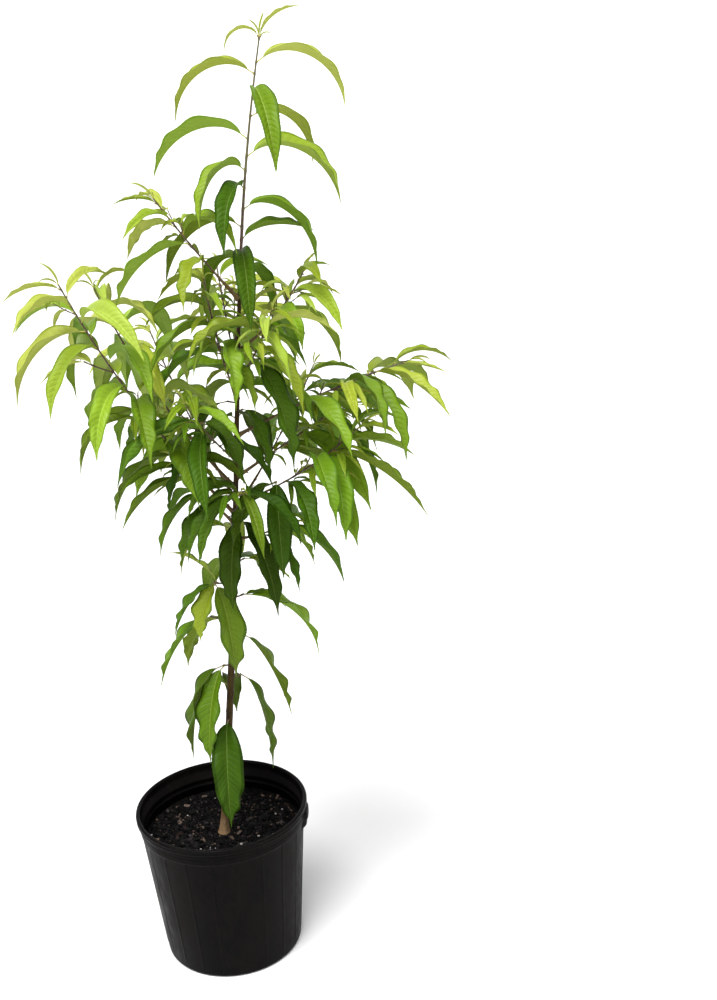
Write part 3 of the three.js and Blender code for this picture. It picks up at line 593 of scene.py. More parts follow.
def painted_light_and_youth(at, young):
    """Painted light and shade: lighter away from the trunk and up the tree, darker inside and low
    down; also lighter while young.
    """
    height = at[2] - SOIL.level
    away = np.linalg.norm((at - trunk_line(height))[:2])
    out = clamp(away / LIGHT.reach, 0, 1)
    high = clamp((height - LIGHT.from_height) / (LIGHT.full_height - LIGHT.from_height), 0, 1)
    new = young * clamp(away / LIGHT.young_reach, 0, 1)
    return LIGHT.inner + (LIGHT.outer - LIGHT.inner) * out + LIGHT.high * high + LIGHT.young * new


def grow_fine_twigs(mass):
    """Short twigs with small leaves, beside the grown leaves and inside the mass's reach."""
    fine = FINE_TWIG
    chance = fine.thin_chance if mass.name in THIN_SHOOTS else fine.chance
    for node in mass.nodes:
        if node.grown < fine.least_grown or dice(node.seed, node.index, 20) > chance:
            continue
        turn = node.turn + fine.turn * (1 if dice(node.seed, node.index, 21) > 0.5 else -1)
        aim = unit(node.direction * fine.forward + outward(node.direction, turn) * fine.out)
        length = fine.length + fine.extra * dice(node.seed, node.index, 22)
        points = twig_line(node.at, aim, length, fine)
        if not space.is_free(points[2:], mass.name, fine.between, fine.within):
            continue
        before = len(mass.leaves)
        for j in range(fine.leaves):
            where, towards = along(points, length * (fine.first_leaf - fine.next_leaf * j))
            size = fine.leaf + fine.leaf_extra * dice(node.seed, node.index, 23 + j)
            leaf_on_stem(mass, where, towards, Sizes(
                turn=turn + fine.leaf_turn + TURN * j, length=size,
                young=fine.young - fine.ageing * j, shade=fine.shade,
                light=node.light + LIGHT.fine_twig, wave=WAVE.grown, seed=node.seed + 7 + j,
                index=node.index + 60), gap=fine.between, own_gap=fine.within)
        if len(mass.leaves) > before:
            add_stem_line(mass, points, fine)


def grow_tree():
    """Grows in the order of the solids, so that each blade finds the space that its solid found."""
    heights = TRUNK.tip_height * np.arange(TRUNK.claims + 1) / TRUNK.claims
    claim_limb(trunk_line(heights), "trunk", TRUNK.claim_radius, TRUNK.tip_radius)
    shoots = [lay_shoot(row) for row in SHOOTS]
    grow_leader()
    for row in SPURS:
        grow_spur(row)
    for i, shoot in enumerate(shoots):
        grow_shoot(shoot, SEED + i)
    for mass in masses:
        grow_fine_twigs(mass)


# ---------------------------------------------------------------- meshes

class Skin:
    """Closed skins over rings of points, in millimetres, gathered into one mesh."""

    def __init__(self):
        self.points, self.faces, self.slots, self.marks = [], [], [], []
        self.count = 0

    def add(self, rings, slots=0, marks=None):
        """Rings of equal size from foot to tip, counter-clockwise seen from the tip."""
        rows, sides = rings.shape[:2]
        r, i = np.meshgrid(np.arange(rows - 1), np.arange(sides), indexing="ij")
        j = (i + 1) % sides
        quads = np.stack([r * sides + i, r * sides + j, (r + 1) * sides + j,
                          (r + 1) * sides + i], -1).reshape(-1, 4) + self.count
        slots = np.broadcast_to(slots, (rows - 1, sides))
        foot = list(range(self.count, self.count + sides))[::-1]
        tip = list(range(self.count + (rows - 1) * sides, self.count + rows * sides))
        self.points.append(rings.reshape(-1, 3))
        self.faces += quads.tolist() + [foot, tip]
        self.slots += slots.ravel().tolist() + [int(slots[0, 0]), int(slots[-1, 0])]
        self.marks.append(
            np.zeros((rows * sides, 2)) if marks is None else marks.reshape(-1, 2))
        self.count += rows * sides

    def add_solid(self, points, faces, slot=0):
        """A closed solid from its own points and faces."""
        self.points.append(points)
        self.faces += (np.array(faces) + self.count).tolist()
        self.slots += [slot] * len(faces)
        self.marks.append(np.zeros((len(points), 2)))
        self.count += len(points)

    def piece(self, name, materials, smooth=True, marks_name=None):
        """All of it as one object, which gets only the materials that its faces use."""
        mesh = bpy.data.meshes.new(name)
        mesh.from_pydata(np.vstack(self.points) * MM, [], self.faces)
        used = sorted(set(self.slots))
        for index in used:
            mesh.materials.append(materials[index])
        place_of = {index: k for k, index in enumerate(used)}
        mesh.polygons.foreach_set("material_index", [place_of[s] for s in self.slots])
        mesh.polygons.foreach_set("use_smooth", [smooth] * len(self.faces))
        if marks_name:
            corners = np.empty(len(mesh.loops), dtype=np.int32)
            mesh.loops.foreach_get("vertex_index", corners)
            layer = mesh.uv_layers.new(name=marks_name)
            layer.data.foreach_set("uv", np.vstack(self.marks)[corners].ravel())
        mesh.update()
        piece = bpy.data.objects.new(name, mesh)
        bpy.context.scene.collection.objects.link(piece)
        return piece


def smooth_line(points, step):
    """A line through the points, in equal short steps along a smooth curve."""
    ends = np.vstack([2 * points[0] - points[1], points, 2 * points[-1] - points[-2]])
    lengths = np.append(0, np.cumsum(np.linalg.norm(np.diff(points, axis=0), axis=1)))
    count = max(2, int(round(lengths[-1] / step)) + 1)
    at = np.linspace(0, lengths[-1], count)
    i = np.clip(np.searchsorted(lengths, at, side="right") - 1, 0, len(points) - 2)
    t = ((at - lengths[i]) / (lengths[i + 1] - lengths[i]))[:, None]
    a, b, c, d = ends[i], ends[i + 1], ends[i + 2], ends[i + 3]
    curve = 0.5 * (2 * b + (c - a) * t + (2 * a - 5 * b + 4 * c - d) * t ** 2
                   + (3 * b - a - 3 * c + d) * t ** 3)
    return curve, at


FIRST_SIDE = (0.6, -0.8, 0.0)    # a heading that no limb follows


def tube(points, radii, sides, level=False):
    """Rings square to a line, or level, with a radius for each ring or for each of its points."""
    radii = np.asarray(radii, float)
    if radii.ndim == 1:
        radii = np.repeat(radii[:, None], sides, axis=1)
    angles = 2 * np.pi * np.arange(sides) / sides
    side = None
    rings = []
    for i, p in enumerate(points):
        ahead = points[min(i + 1, len(points) - 1)] - points[max(i - 1, 0)]
        direction = np.array([0.0, 0.0, 1.0]) if level else unit(ahead)
        if side is None:
            side = np.cross(direction, FIRST_SIDE)
        side = unit(side - direction * side.dot(direction))
        across = np.cross(direction, side)
        rings.append(p + np.outer(radii[i] * np.cos(angles), side)
                     + np.outer(radii[i] * np.sin(angles), across))
    return np.array(rings)


UPPER, UNDER, RIB, STALK, SIDE_VEIN = range(5)    # the finishes of one tone
FINISHES = 5


def tone_of(light):
    """The tone whose place on the scale from dark to new is nearest to a leaf's light."""
    return int(clamp(round(light * (len(TONES) - 1)), 0, len(TONES) - 1))


def draw_line(line, t):
    """The line's points, directions and half-breadths at any t, rows and columns alike."""
    def at(values):
        return np.stack([np.interp(t, line.t, v) for v in values.T], -1)

    return Sizes(at=at(line.at), side=at(line.side), up=at(line.up), forward=at(line.forward),
                 half=np.interp(t, line.t, line.half))


def round_both_faces(values):
    """Values of a half-blade's columns, laid out in the order of a ring round both faces."""
    face = np.concatenate([values, values[:, ::-1]], axis=1)
    return np.concatenate([face, face[:, ::-1]], axis=1)


def blade_rings(shape, line, t, puffed, small):
    """Rings round a folded, toothed blade, along its upper face and back along its under face."""
    columns = np.array(ACROSS)
    rib = (BLADE.rib_half * small * (1 - BLADE.rib_taper * t))[:, None]
    age = clamp((shape.wave - WAVE.grown) / (WAVE.old - WAVE.grown), 0, 1)
    drawn_out = 1 - ((BLADE.tip_pinch + BLADE.old_pinch * age)
                     * smooth_step(t, *BLADE.tip_reach)[:, None])
    half = np.maximum(line.half * BLADE.broad * drawn_out, rib * BLADE.rib_margin)
    breadth = rib + (half - rib) * columns[None]
    row = np.arange(len(t))
    toothed = (row % 2 == 1) & (t > TOOTH.low) & (t < TOOTH.high)
    sharp = np.array([TOOTH.blunt + TOOTH.sharper * dice(shape.seed, 33, i) for i in row])
    tooth = np.where(toothed, TOOTH.size * small * sharp, 0.0)
    phase = 2 * np.pi * dice(shape.seed, 31)
    cycles = EDGE_WAVE.cycles + EDGE_WAVE.more_cycles * dice(shape.seed, 32)
    fade = np.sin(np.pi * t) ** EDGE_WAVE.fade
    fold = shape.fold + rad(BLADE.fold)

    def half_section(sign, lag):
        """Sideways, upward and forward offsets of one half's columns at each station."""
        sideways = breadth * math.cos(fold)
        sideways[:, 0] += tooth
        wave = np.sin(2 * np.pi * cycles * t + phase + lag)
        lift = (breadth * math.sin(fold)
                + half * BLADE.bulge * np.sin(np.pi * columns)[None]
                + half * shape.wave * (fade * wave)[:, None] * columns[None] ** 2
                + (puffed * fade)[:, None] * np.sin(np.pi * columns ** BLADE.pucker_out)[None]
                * small)
        forward = np.zeros_like(lift)
        forward[:, 0] = tooth * TOOTH.lean
        return sign * sideways, lift, forward

    right, left = half_section(1, 0), half_section(-1, EDGE_WAVE.left_lag)
    side, lift, forward = [np.concatenate([a, b[:, ::-1]], axis=1) for a, b in zip(right, left)]
    thick = BLADE.thickness / 2 * ((1 + small) / 2)
    in_rib = np.concatenate([columns == 0, columns[::-1] == 0])
    depth = BLADE.rib_depth * small * (1 - BLADE.depth_taper * t)[:, None]
    upper = lift + thick - np.where(in_rib, BLADE.rib_groove * small, 0)
    lower = lift - thick - np.where(in_rib, depth, 0)
    side, lift, forward = [np.concatenate([over, under[:, ::-1]], axis=1)[..., None]
                           for over, under in ((side, side), (upper, lower), (forward, forward))]
    return (round_both_faces(line.at) + round_both_faces(line.side) * side
            + round_both_faces(line.up) * lift + round_both_faces(line.forward) * forward)


def stalk_rings(root, line, small):
    """Rings of a leaf stalk, thickest at its foot, with as many points as the blade's rings."""
    angles = np.pi * (np.arange(2 * FACE_POINTS) + 0.5) / FACE_POINTS
    reach = np.linspace(LEAF_STALK.start, LEAF_STALK.end, LEAF_STALK.rings)
    radii = ((LEAF_STALK.radius + (LEAF_STALK.foot - LEAF_STALK.radius)
              * np.exp(-reach * LEAF_STALK.narrowing))
             * (LEAF_STALK.least + LEAF_STALK.growth * small))
    end, side, up = line.at[0, RIB_COLUMN], line.side[0, RIB_COLUMN], line.up[0, RIB_COLUMN]
    middles = root + (end - root) * reach[:, None]
    return (middles[:, None] + side * (radii[:, None] * np.cos(angles))[..., None]
            + up * (radii[:, None] * np.sin(angles))[..., None])


def leaf_slots(shape, in_vein):
    """The finish of each face of a leaf's skin, in rows from the stalk's foot to the tip."""
    strips = np.full(2 * FACE_POINTS, UPPER)
    strips[[RIB_COLUMN - 1, RIB_COLUMN + 1]] = SIDE_VEIN
    strips[FACE_POINTS:] = UNDER
    slots = np.tile(strips, (len(in_vein), 1))
    slots[in_vein] = np.where(slots[in_vein] == UPPER, SIDE_VEIN, slots[in_vein])
    slots[:, [RIB_COLUMN, FACE_POINTS + RIB_COLUMN]] = RIB
    slots = np.vstack([np.full((LEAF_STALK.rings, 2 * FACE_POINTS), STALK), slots])
    tone = tone_of(shape.light)
    draw = dice(shape.seed, 34)
    hue = 0 if draw < shape.green else 1 if draw < shape.green + HUE.middle else 2
    slots = slots + FINISHES * (tone + hue * len(TONES))
    # Painted shade: the edge strips of both faces are painted a tone darker.
    edges = [0, FACE_POINTS - 2, FACE_POINTS, 2 * FACE_POINTS - 2]
    slots[:, edges] -= FINISHES * min(1, tone)     # the edges are a tone darker
    return slots


def add_leaf(skin, leaf):
    """A stalk that widens to a blade with a raised rib beneath, as one skin.

    Each row of points runs forward from the rib to both edges, as the side veins do.
    """
    shape = leaf.shape
    small = clamp(shape.length / BLADE.full_length, BLADE.smallest, 1)
    pitch = VEIN.small_pitch + (1 - VEIN.small_pitch) * small
    veins = max(VEIN.fewest, int(round(shape.length / VEIN.pitch / pitch)))
    rows = np.array(VEIN.rows if small > VEIN.few_below else VEIN.few_rows)
    t = np.append((np.arange(veins)[:, None] + rows[None]).ravel() / veins, 1.0)
    columns = np.array(ACROSS)
    lean = VEIN.lean * shape.half / shape.length * np.sin(np.pi * t) ** 2
    line = draw_line(blade_line(leaf.root, shape, FINE_LINE),
                     np.clip(t[:, None] + lean[:, None] * columns[None], 0, 1))
    puffed = np.append(np.tile(np.sin(np.pi * rows), veins), 0) * BLADE.pucker
    blade = blade_rings(shape, line, t, puffed, small)
    stalk = stalk_rings(leaf.root, line, small)
    from_foot = round_both_faces(np.repeat(t[:, None] * veins, len(columns), axis=1))
    from_rib = round_both_faces(np.repeat(columns[None], len(t), axis=0))
    marks = np.concatenate([np.zeros((LEAF_STALK.rings, 2 * FACE_POINTS, 2)),
                            np.stack([from_foot, from_rib], -1)])
    skin.add(np.concatenate([stalk, blade]), leaf_slots(shape, np.tile(rows == 0, veins)), marks)


STEM_RED, STEM_OLIVE, STEM_GREEN, BUD_SCALE = range(4)     # the finishes of a shoot
SHOOT_FINISHES = 4


def add_stem(skin, stem, node_places):
    """A round stem that swells at its nodes, dull red above, and greener beneath and ahead."""
    line, at = smooth_line(stem.points, STEM_STEP)
    radii = SLIM * (stem.radius + (stem.tip_radius - stem.radius) * at / at[-1])
    for place_at in node_places:
        away = np.linalg.norm(line - place_at, axis=1)
        radii = radii + NODE.swell * np.exp(-(away / NODE.reach) ** 2)
    rings = tube(line, radii, STEM_SIDES)
    middles = (rings + np.roll(rings, -1, axis=1)) / 2 - line[:, None]
    above = middles[:-1, :, 2] > STEM_TINT.under * radii[:-1, None]
    slots = np.where(above, STEM_RED, STEM_OLIVE)
    green_from = STEM_TINT.leader_green_from if stem.leads else STEM_TINT.green_from
    patch = np.array([vary(STEM_TINT.patch, 41, i) for i in range(len(line) - 1)])
    ahead = at[:-1] / at[-1] + patch > green_from
    slots[ahead] = np.where(slots[ahead] == STEM_RED, STEM_OLIVE, STEM_GREEN)
    skin.add(rings, slots)


def add_bud(skin, at, direction, turn):
    """A pointed bud in the angle above a leaf."""
    out = outward(direction, turn)
    aim = unit(direction * BUD.forward + out * BUD.outward)
    foot = at + out * BUD.out
    line = foot + aim * (np.array(BUD.places) * BUD.length)[:, None]
    skin.add(tube(line, BUD.radius * np.array(BUD.breadths), BUD.sides), BUD_SCALE)


def unfolding_leaves(mass):
    """Three narrow new leaves that stand together at the end of a leading stem."""
    new = UNFOLDING
    stem = mass.stems[0]
    end, towards = stem.points[-1], unit(stem.points[-1] - stem.points[-2])
    for k, length in enumerate(new.lengths):
        turn = new.turn + new.next_turn * k + new.extra_turn * dice(len(mass.leaves), k)
        aim = unit(towards + outward(towards, turn) * (new.spread + new.next_spread * k))
        rise = rise_of(aim)
        yield Sizes(root=end - towards * new.inset, shape=Sizes(
            turn=heading_of(aim), rise=rise, tip_fall=rise - rad(new.fall + new.next_fall * k),
            length=length, half=length * new.breadth, hang=new.hang, curl=new.curl, roll=0.0,
            twist=new.twist, fold=rad(new.fold), stalk=length * new.stalk, light=1.0,
            green=green_share(1, 1), wave=new.wave, seed=700 + k))


def make_mass(mass, tones, shoot_finishes):
    """A mass's leaves as one piece, and its twigs with their buds as another."""
    leaves = Skin()
    for leaf in mass.leaves:
        add_leaf(leaves, leaf)
    if not mass.name.startswith("spur"):
        for leaf in unfolding_leaves(mass):
            add_leaf(leaves, leaf)
    piece = leaves.piece(mass.name + "_leaves", tones, marks_name="veins")
    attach(piece, "root")
    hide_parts(mass.name)

    twigs = Skin()
    for stem in mass.stems:
        add_stem(twigs, stem, [leaf.root for leaf in mass.leaves])
    for node in mass.nodes:
        add_bud(twigs, node.at, node.direction, node.turn)
    piece = twigs.piece(mass.name + "_twigs", shoot_finishes)
    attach(piece, "root")
    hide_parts(mass.name)


def relief(x, y, z, scale):
    """How far a wandering surface stands out at a place, from about -1 to 1."""
    return noise.fractal(Vector((x, y, z)) / scale, RELIEF.roughness, RELIEF.finer,
                         RELIEF.octaves)


def make_trunk(bark):
    """The trunk's bark: a tapering limb with leaf scars, lenticels and a wandering surface."""
    heights = np.arange(-BARK.below, TRUNK.fork_height + BARK.past_end, BARK.step)
    angles = 2 * np.pi * np.arange(BARK.sides) / BARK.sides
    radii = trunk_radius(heights)[:, None] + np.zeros(BARK.sides)
    for i, h in enumerate(heights):
        for k, a in enumerate(angles):
            radii[i, k] += BARK.wander * relief(
                math.cos(a) * BARK.stretch, math.sin(a) * BARK.stretch, h / BARK.stretch,
                BARK.grain)
    bumps = []
    for n, h in enumerate(np.arange(SCAR.first, TRUNK.fork_height, SCAR.pitch)):
        bumps.append((h, rad(TURN * n + vary(SCAR.turn, 70, n)), SCAR.height, SCAR.reach,
                      SCAR.spread))
    for n in range(LENTICEL.count):
        bumps.append((TRUNK.fork_height * dice(71, n), 2 * np.pi * dice(72, n), LENTICEL.height,
                      LENTICEL.reach, LENTICEL.spread + LENTICEL.more_spread * dice(73, n)))
    for h, a, size, reach, spread in bumps:
        near = np.abs(heights - h) < BUMP_REACHES * reach
        turn = (angles - a + np.pi) % (2 * np.pi) - np.pi
        radii[near] += size * np.outer(np.exp(-((heights[near] - h) / reach) ** 2),
                                       np.exp(-(turn / spread) ** 2))
    skin = Skin()
    skin.add(tube(trunk_line(heights), radii, BARK.sides, level=True))
    piece = skin.piece("trunk_bark", [bark])
    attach(piece, "root")
    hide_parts("trunk")


def make_boughs(bark):
    """The bare feet of the shoots, each with a collar where it leaves the trunk."""
    size = BOUGH_BARK
    skin = Skin()
    for n, bough in enumerate(boughs):
        at = np.linspace(size.foot, bough.bare + GAP, int(bough.bare / size.step) + 1)
        line = np.array([along(bough.points, d)[0] for d in at])
        end_radius = SLIM * BOUGH.end_radius
        collar = np.exp(-(at / size.collar_reach - size.collar_flat).clip(0))
        radii = (BOUGH.foot_radius + (end_radius - BOUGH.foot_radius) * at / bough.bare
                 + size.collar * collar)
        wander = np.array([[relief(k * size.around, n * size.apart, d / size.stretch, size.grain)
                            for k in range(size.sides)] for d in at])
        skin.add(tube(line, radii[:, None] + size.wander * wander, size.sides))
        places = np.arange(BOUGH_BUD.first, bough.bare - BOUGH_BUD.end_gap, BOUGH_BUD.pitch)
        for k, d in enumerate(places):
            where, towards = along(bough.points, d)
            foot = where + outward(towards, TURN * k) * BOUGH_BUD.out
            add_bud(skin, foot, towards, TURN * k)
    piece = skin.piece("bough_bark", [bark] * SHOOT_FINISHES)     # its buds have bark too
    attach(piece, "root")
    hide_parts(*[bough.name for bough in boughs])


# ---------------------------------------------------------------- pot and mix

RIBS = Sizes(count=20, height=0.55, half=1.1, top=178, top_ramp=4, foot=9, foot_ramp=6, turn=6)
GRIP = Sizes(turn=-9, half=9, out=5.2, low=174, low_ramp=1.5, high=192, high_ramp=3, slope=0.25,
             side_ramp=(3.5, 1.0))
SAG = Sizes(depth=0.25, lobes=3, turn=0.8, low=20, high=120)
POT_SIDES = 480
LIP_FOOT = POT.height - POT.lip_height
COLLAR_FOOT = LIP_FOOT - POT.collar_height
OUTER = Sizes(bevel_rows=7, wall_rows=26, wall_start=3, wall_end=1.5, collar_rows=14,
              collar_start=2.4, collar_end=1.6, lip_rows=13, lip_rise=2.4)
COLLAR_GROOVE = Sizes(height=9, depth=0.5, half=0.9)
INNER_BEVEL = 5
# Steps under the collar and under the lip: radius, and height above the foot of either.
COLLAR_STEP = (
    (POT.collar_foot + 0.1, -0.4), (POT.collar_radius - 0.3, 0.5), (POT.collar_radius, 1.4))
LIP_STEP = (
    (POT.collar_radius, -0.6), (POT.collar_radius + 0.5, 0), (POT.rim_radius - 1.5, 0.15),
    (POT.rim_radius - 0.5, 0.6), (POT.rim_radius - 0.15, 1.6), (POT.rim_radius - 0.3, 3.1),
    (POT.rim_radius - 0.95, 3.7), (POT.rim_radius - 0.35, 4.3))
# The inner wall and its stacking rings: height, and how far it stands out from a plain wall.
INNER_STEPS = (
    (LIP_FOOT + 1, 1.4), (LIP_FOOT - 1, 0.9), (194.0, 0.9), (193.4, 0.0), (187.5, 0.0),
    (187.0, -0.9), (183.2, -0.9), (182.6, 0.0), (178.0, 0.0), (177.5, -0.8), (175.8, -0.8),
    (175.3, 0.0), (150.0, 0.0), (60.0, 0.0), (POT.floor + INNER_BEVEL, 0.0))


def wall_radius(z):
    """The outer radius of the pot's tapering wall at a height."""
    return POT.base_radius + (POT.collar_foot - POT.base_radius) * z / COLLAR_FOOT


def pot_profile():
    """Radius and height of the outer points, from the foot round the lip, and of the inner ones."""
    bevel = POT.foot_bevel
    outer = [(wall_radius(bevel) - bevel + bevel * math.sin(rad(a)),
              bevel - bevel * math.cos(rad(a))) for a in np.linspace(0, 90, OUTER.bevel_rows)]
    outer += [(wall_radius(z), z) for z in np.linspace(
        bevel + OUTER.wall_start, COLLAR_FOOT - OUTER.wall_end, OUTER.wall_rows)]
    outer += [(r, COLLAR_FOOT + z) for r, z in COLLAR_STEP]
    for z in np.linspace(COLLAR_FOOT + OUTER.collar_start, LIP_FOOT - OUTER.collar_end,
                         OUTER.collar_rows):
        from_groove = (z - COLLAR_FOOT - COLLAR_GROOVE.height) / COLLAR_GROOVE.half
        outer.append((POT.collar_radius - COLLAR_GROOVE.depth * math.exp(-from_groove ** 2), z))
    outer += [(r, LIP_FOOT + z) for r, z in LIP_STEP]
    half = POT.lip_breadth / 2
    outer += [(POT.rim_radius - half + half * math.cos(rad(a)),
               POT.height - OUTER.lip_rise + OUTER.lip_rise * math.sin(rad(a)))
              for a in np.linspace(0, 180, OUTER.lip_rows)]
    inner = [(wall_radius(z) - POT.wall + step, z) for z, step in INNER_STEPS]
    inner.append((wall_radius(POT.floor) - POT.wall - INNER_BEVEL, POT.floor))
    return np.array(outer), np.array(inner)


def make_pot(plastic):
    """A thin moulded pot: rolled lip, collar with a grip, upright ribs and inner stacking rings."""
    outer, inner = pot_profile()
    profile = np.vstack([outer, inner])
    turns = 360 * np.arange(POT_SIDES) / POT_SIDES
    r, z = profile[:, :1], profile[:, 1:]
    to_rib = ((turns - RIBS.turn) * RIBS.count / 360 + 0.5) % 1 - 0.5
    arc = to_rib * 2 * np.pi * r / RIBS.count
    rib = (RIBS.height * np.exp(-(arc / RIBS.half) ** 2)
           * smooth_step(z, RIBS.foot, RIBS.foot + RIBS.foot_ramp)
           * (1 - smooth_step(z, RIBS.top - RIBS.top_ramp, RIBS.top)))
    to_grip = (turns - GRIP.turn + 180) % 360 - 180
    low = GRIP.slope * to_grip
    grip = (GRIP.out
            * (1 - smooth_step(np.abs(to_grip), GRIP.half - GRIP.side_ramp[0],
                               GRIP.half + GRIP.side_ramp[1]))
            * smooth_step(z, GRIP.low - GRIP.low_ramp + low, GRIP.low + GRIP.low_ramp + low)
            * (1 - smooth_step(z, GRIP.high, GRIP.high + GRIP.high_ramp)))
    sag = (SAG.depth * np.sin(SAG.lobes * np.radians(turns) + SAG.turn)
           * smooth_step(z, SAG.low, SAG.high))
    below_lip = len(outer) - len(LIP_STEP) - OUTER.lip_rows - 1
    on_wall = (np.arange(len(profile)) < below_lip)[:, None]
    radius = r + sag + np.where(on_wall, rib + grip, 0)
    a = np.radians(turns)
    rings = np.stack([radius * np.cos(a), radius * np.sin(a), np.broadcast_to(z, radius.shape)], -1)
    skin = Skin()
    skin.add(rings)
    piece = skin.piece("nursery_pot", [plastic])
    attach(piece, "root")
    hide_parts("pot")


MIX = Sizes(
    rings=70, sides=150, body_heights=(60, 120), crown=12, wall_gap=0.1, centre=0.4, sunk=0.5,
    lump=2.2, lump_size=9.0, lump_rough=0.8, lump_finer=2.2, octaves=4, calm=0.25, calm_from=8,
    calm_to=22)
SCATTER = Sizes(wall_gap=2, size_share=0.75, foot_gap=8, tries=8)
CHIP = Sizes(uneven=0.35, breadth=0.35, more_breadth=0.4, tip=0.6, roll=0.5, rise=0.25)
CHIPS = Sizes(count=2000, size=2.6, more=6.0, skew=3, pale_skew=4.2, flat=0.42, seed=210,
              size_seed=200, brown_seed=201)
CRUMBS = Sizes(count=3600, size=1.2, more=1.8, skew=1, pale_skew=4.6, flat=0.7, seed=230,
               size_seed=202, brown_seed=203)
PERLITE = Sizes(
    count=26, size=1.3, more=2.6, skew=2, rise=0.3, rings=7, pole=0.06, sides=9, pits=0.28,
    pit_pitch=1.7, apart=3.1, shape=(0.55, 0.5, 0.42), colour=(0.36, 0.33, 0.31))


def mix_level(x, y):
    """Height of the mix's lumpy surface, which drops a little towards the wall."""
    r = math.hypot(x, y)
    edge = wall_radius(SOIL.level) - POT.wall
    drop = SOIL.edge_drop * smooth_step(r, SOIL.flat_radius, edge)
    lump = MIX.lump * noise.fractal(Vector((x, y, 3.0)) / MIX.lump_size, MIX.lump_rough,
                                    MIX.lump_finer, MIX.octaves)
    foot = math.hypot(x, y - TRUNK.foot_y)
    calm = MIX.calm + (1 - MIX.calm) * float(smooth_step(foot, MIX.calm_from, MIX.calm_to))
    return SOIL.level - MIX.sunk - drop + lump * calm


def make_mix(peat):
    """The body of the mix, a closed solid with a lumpy top."""
    edge = wall_radius(SOIL.level - SOIL.edge_drop) - POT.wall - MIX.wall_gap
    angles = 2 * np.pi * np.arange(MIX.sides) / MIX.sides
    rings = []
    for z in (POT.floor + GAP, *MIX.body_heights, SOIL.level - MIX.crown):
        r = wall_radius(z) - POT.wall - MIX.wall_gap
        rings.append([(r * math.cos(a), r * math.sin(a), z) for a in angles])
    for r in np.linspace(edge, MIX.centre, MIX.rings):
        places = [(r * math.cos(a), r * math.sin(a)) for a in angles]
        rings.append([(x, y, mix_level(x, y)) for x, y in places])
    skin = Skin()
    skin.add(np.array(rings))
    piece = skin.piece("potting_mix", [peat])
    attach(piece, "root")
    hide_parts("soil")


BOX = ((-1, -1, -1), (1, -1, -1), (1, 1, -1), (-1, 1, -1), (-1, -1, 1), (1, -1, 1), (1, 1, 1),
       (-1, 1, 1))
BOX_FACES = ((0, 3, 2, 1), (4, 5, 6, 7), (0, 1, 5, 4), (1, 2, 6, 5), (2, 3, 7, 6), (3, 0, 4, 7))


def scatter(seed, n, size):
    """An even random place on the mix, clear of the wall and of the trunk's foot."""
    edge = wall_radius(SOIL.level) - POT.wall - SCATTER.wall_gap - SCATTER.size_share * size
    for k in range(SCATTER.tries):
        r = edge * math.sqrt(dice(seed, n, k))
        a = 2 * math.pi * dice(seed + 1, n, k)
        x, y = r * math.cos(a), r * math.sin(a)
        if math.hypot(x, y - TRUNK.foot_y) > SCATTER.foot_gap + size:
            return x, y
    return edge / 2, 0.0


def add_chip(skin, seed, n, size, slot, flat):
    """A broken, flat-faced chip that lies half in the mix."""
    x, y = scatter(seed, n, size)
    corners = np.array([[c * (1 + vary(CHIP.uneven, seed + 2, n, 8 * i + j))
                         for j, c in enumerate(corner)] for i, corner in enumerate(BOX)])
    breadth = CHIP.breadth + CHIP.more_breadth * dice(seed + 3, n)
    corners *= np.array([size, size * breadth, size * flat]) / 2
    turned = (Matrix.Rotation(2 * math.pi * dice(seed + 4, n), 3, "Z")
              @ Matrix.Rotation(vary(CHIP.tip, seed + 5, n), 3, "X")
              @ Matrix.Rotation(vary(CHIP.roll, seed + 6, n), 3, "Y"))
    corners = corners @ np.array(turned).T + (x, y, mix_level(x, y) + size * flat * CHIP.rise)
    skin.add_solid(corners, BOX_FACES, slot)


def make_chips(browns):
    """Bark chips and crumbs of several browns on the mix, the paler ones fewer."""
    skin = Skin()
    for kind in (CHIPS, CRUMBS):
        for n in range(kind.count):
            size = kind.size + kind.more * dice(kind.size_seed, n) ** kind.skew
            brown = int(dice(kind.brown_seed, n) ** kind.pale_skew * len(browns))
            add_chip(skin, kind.seed, n, size, brown, kind.flat)
    piece = skin.piece("bark_chips", browns, smooth=False)
    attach(piece, "root")


def make_perlite(white):
    """White expanded grains, rounded and pitted."""
    skin = Skin()
    t = np.linspace(PERLITE.pole, 1 - PERLITE.pole, PERLITE.rings)
    axis = np.array([[0, 0, -math.cos(math.pi * v)] for v in t])
    for n in range(PERLITE.count):
        size = PERLITE.size + PERLITE.more * dice(250, n) ** PERLITE.skew
        x, y = scatter(251, n, size)
        rings = tube(axis, np.sin(np.pi * t), PERLITE.sides, level=True)
        for ring in rings:
            for p in ring:
                pit = noise.noise(Vector(p) * PERLITE.pit_pitch + Vector((n * PERLITE.apart, 0, 0)))
                p *= 1 + PERLITE.pits * pit
        place_at = (x, y, mix_level(x, y) + size * PERLITE.rise)
        skin.add(rings * (size * np.array(PERLITE.shape)) + place_at)
    piece = skin.piece("perlite", [white])
    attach(piece, "root")


# ---------------------------------------------------------------- materials

def add_node(tree, kind, values=None, **settings):
    """A node with its settings, and values or links for its inputs by name or number."""
    node = tree.nodes.new(kind)
    for key, value in settings.items():
        setattr(node, key, value)
    for key, value in (values or {}).items():
        if isinstance(value, bpy.types.NodeSocket):
            tree.links.new(value, node.inputs[key])
        else:
            node.inputs[key].default_value = value
    return node


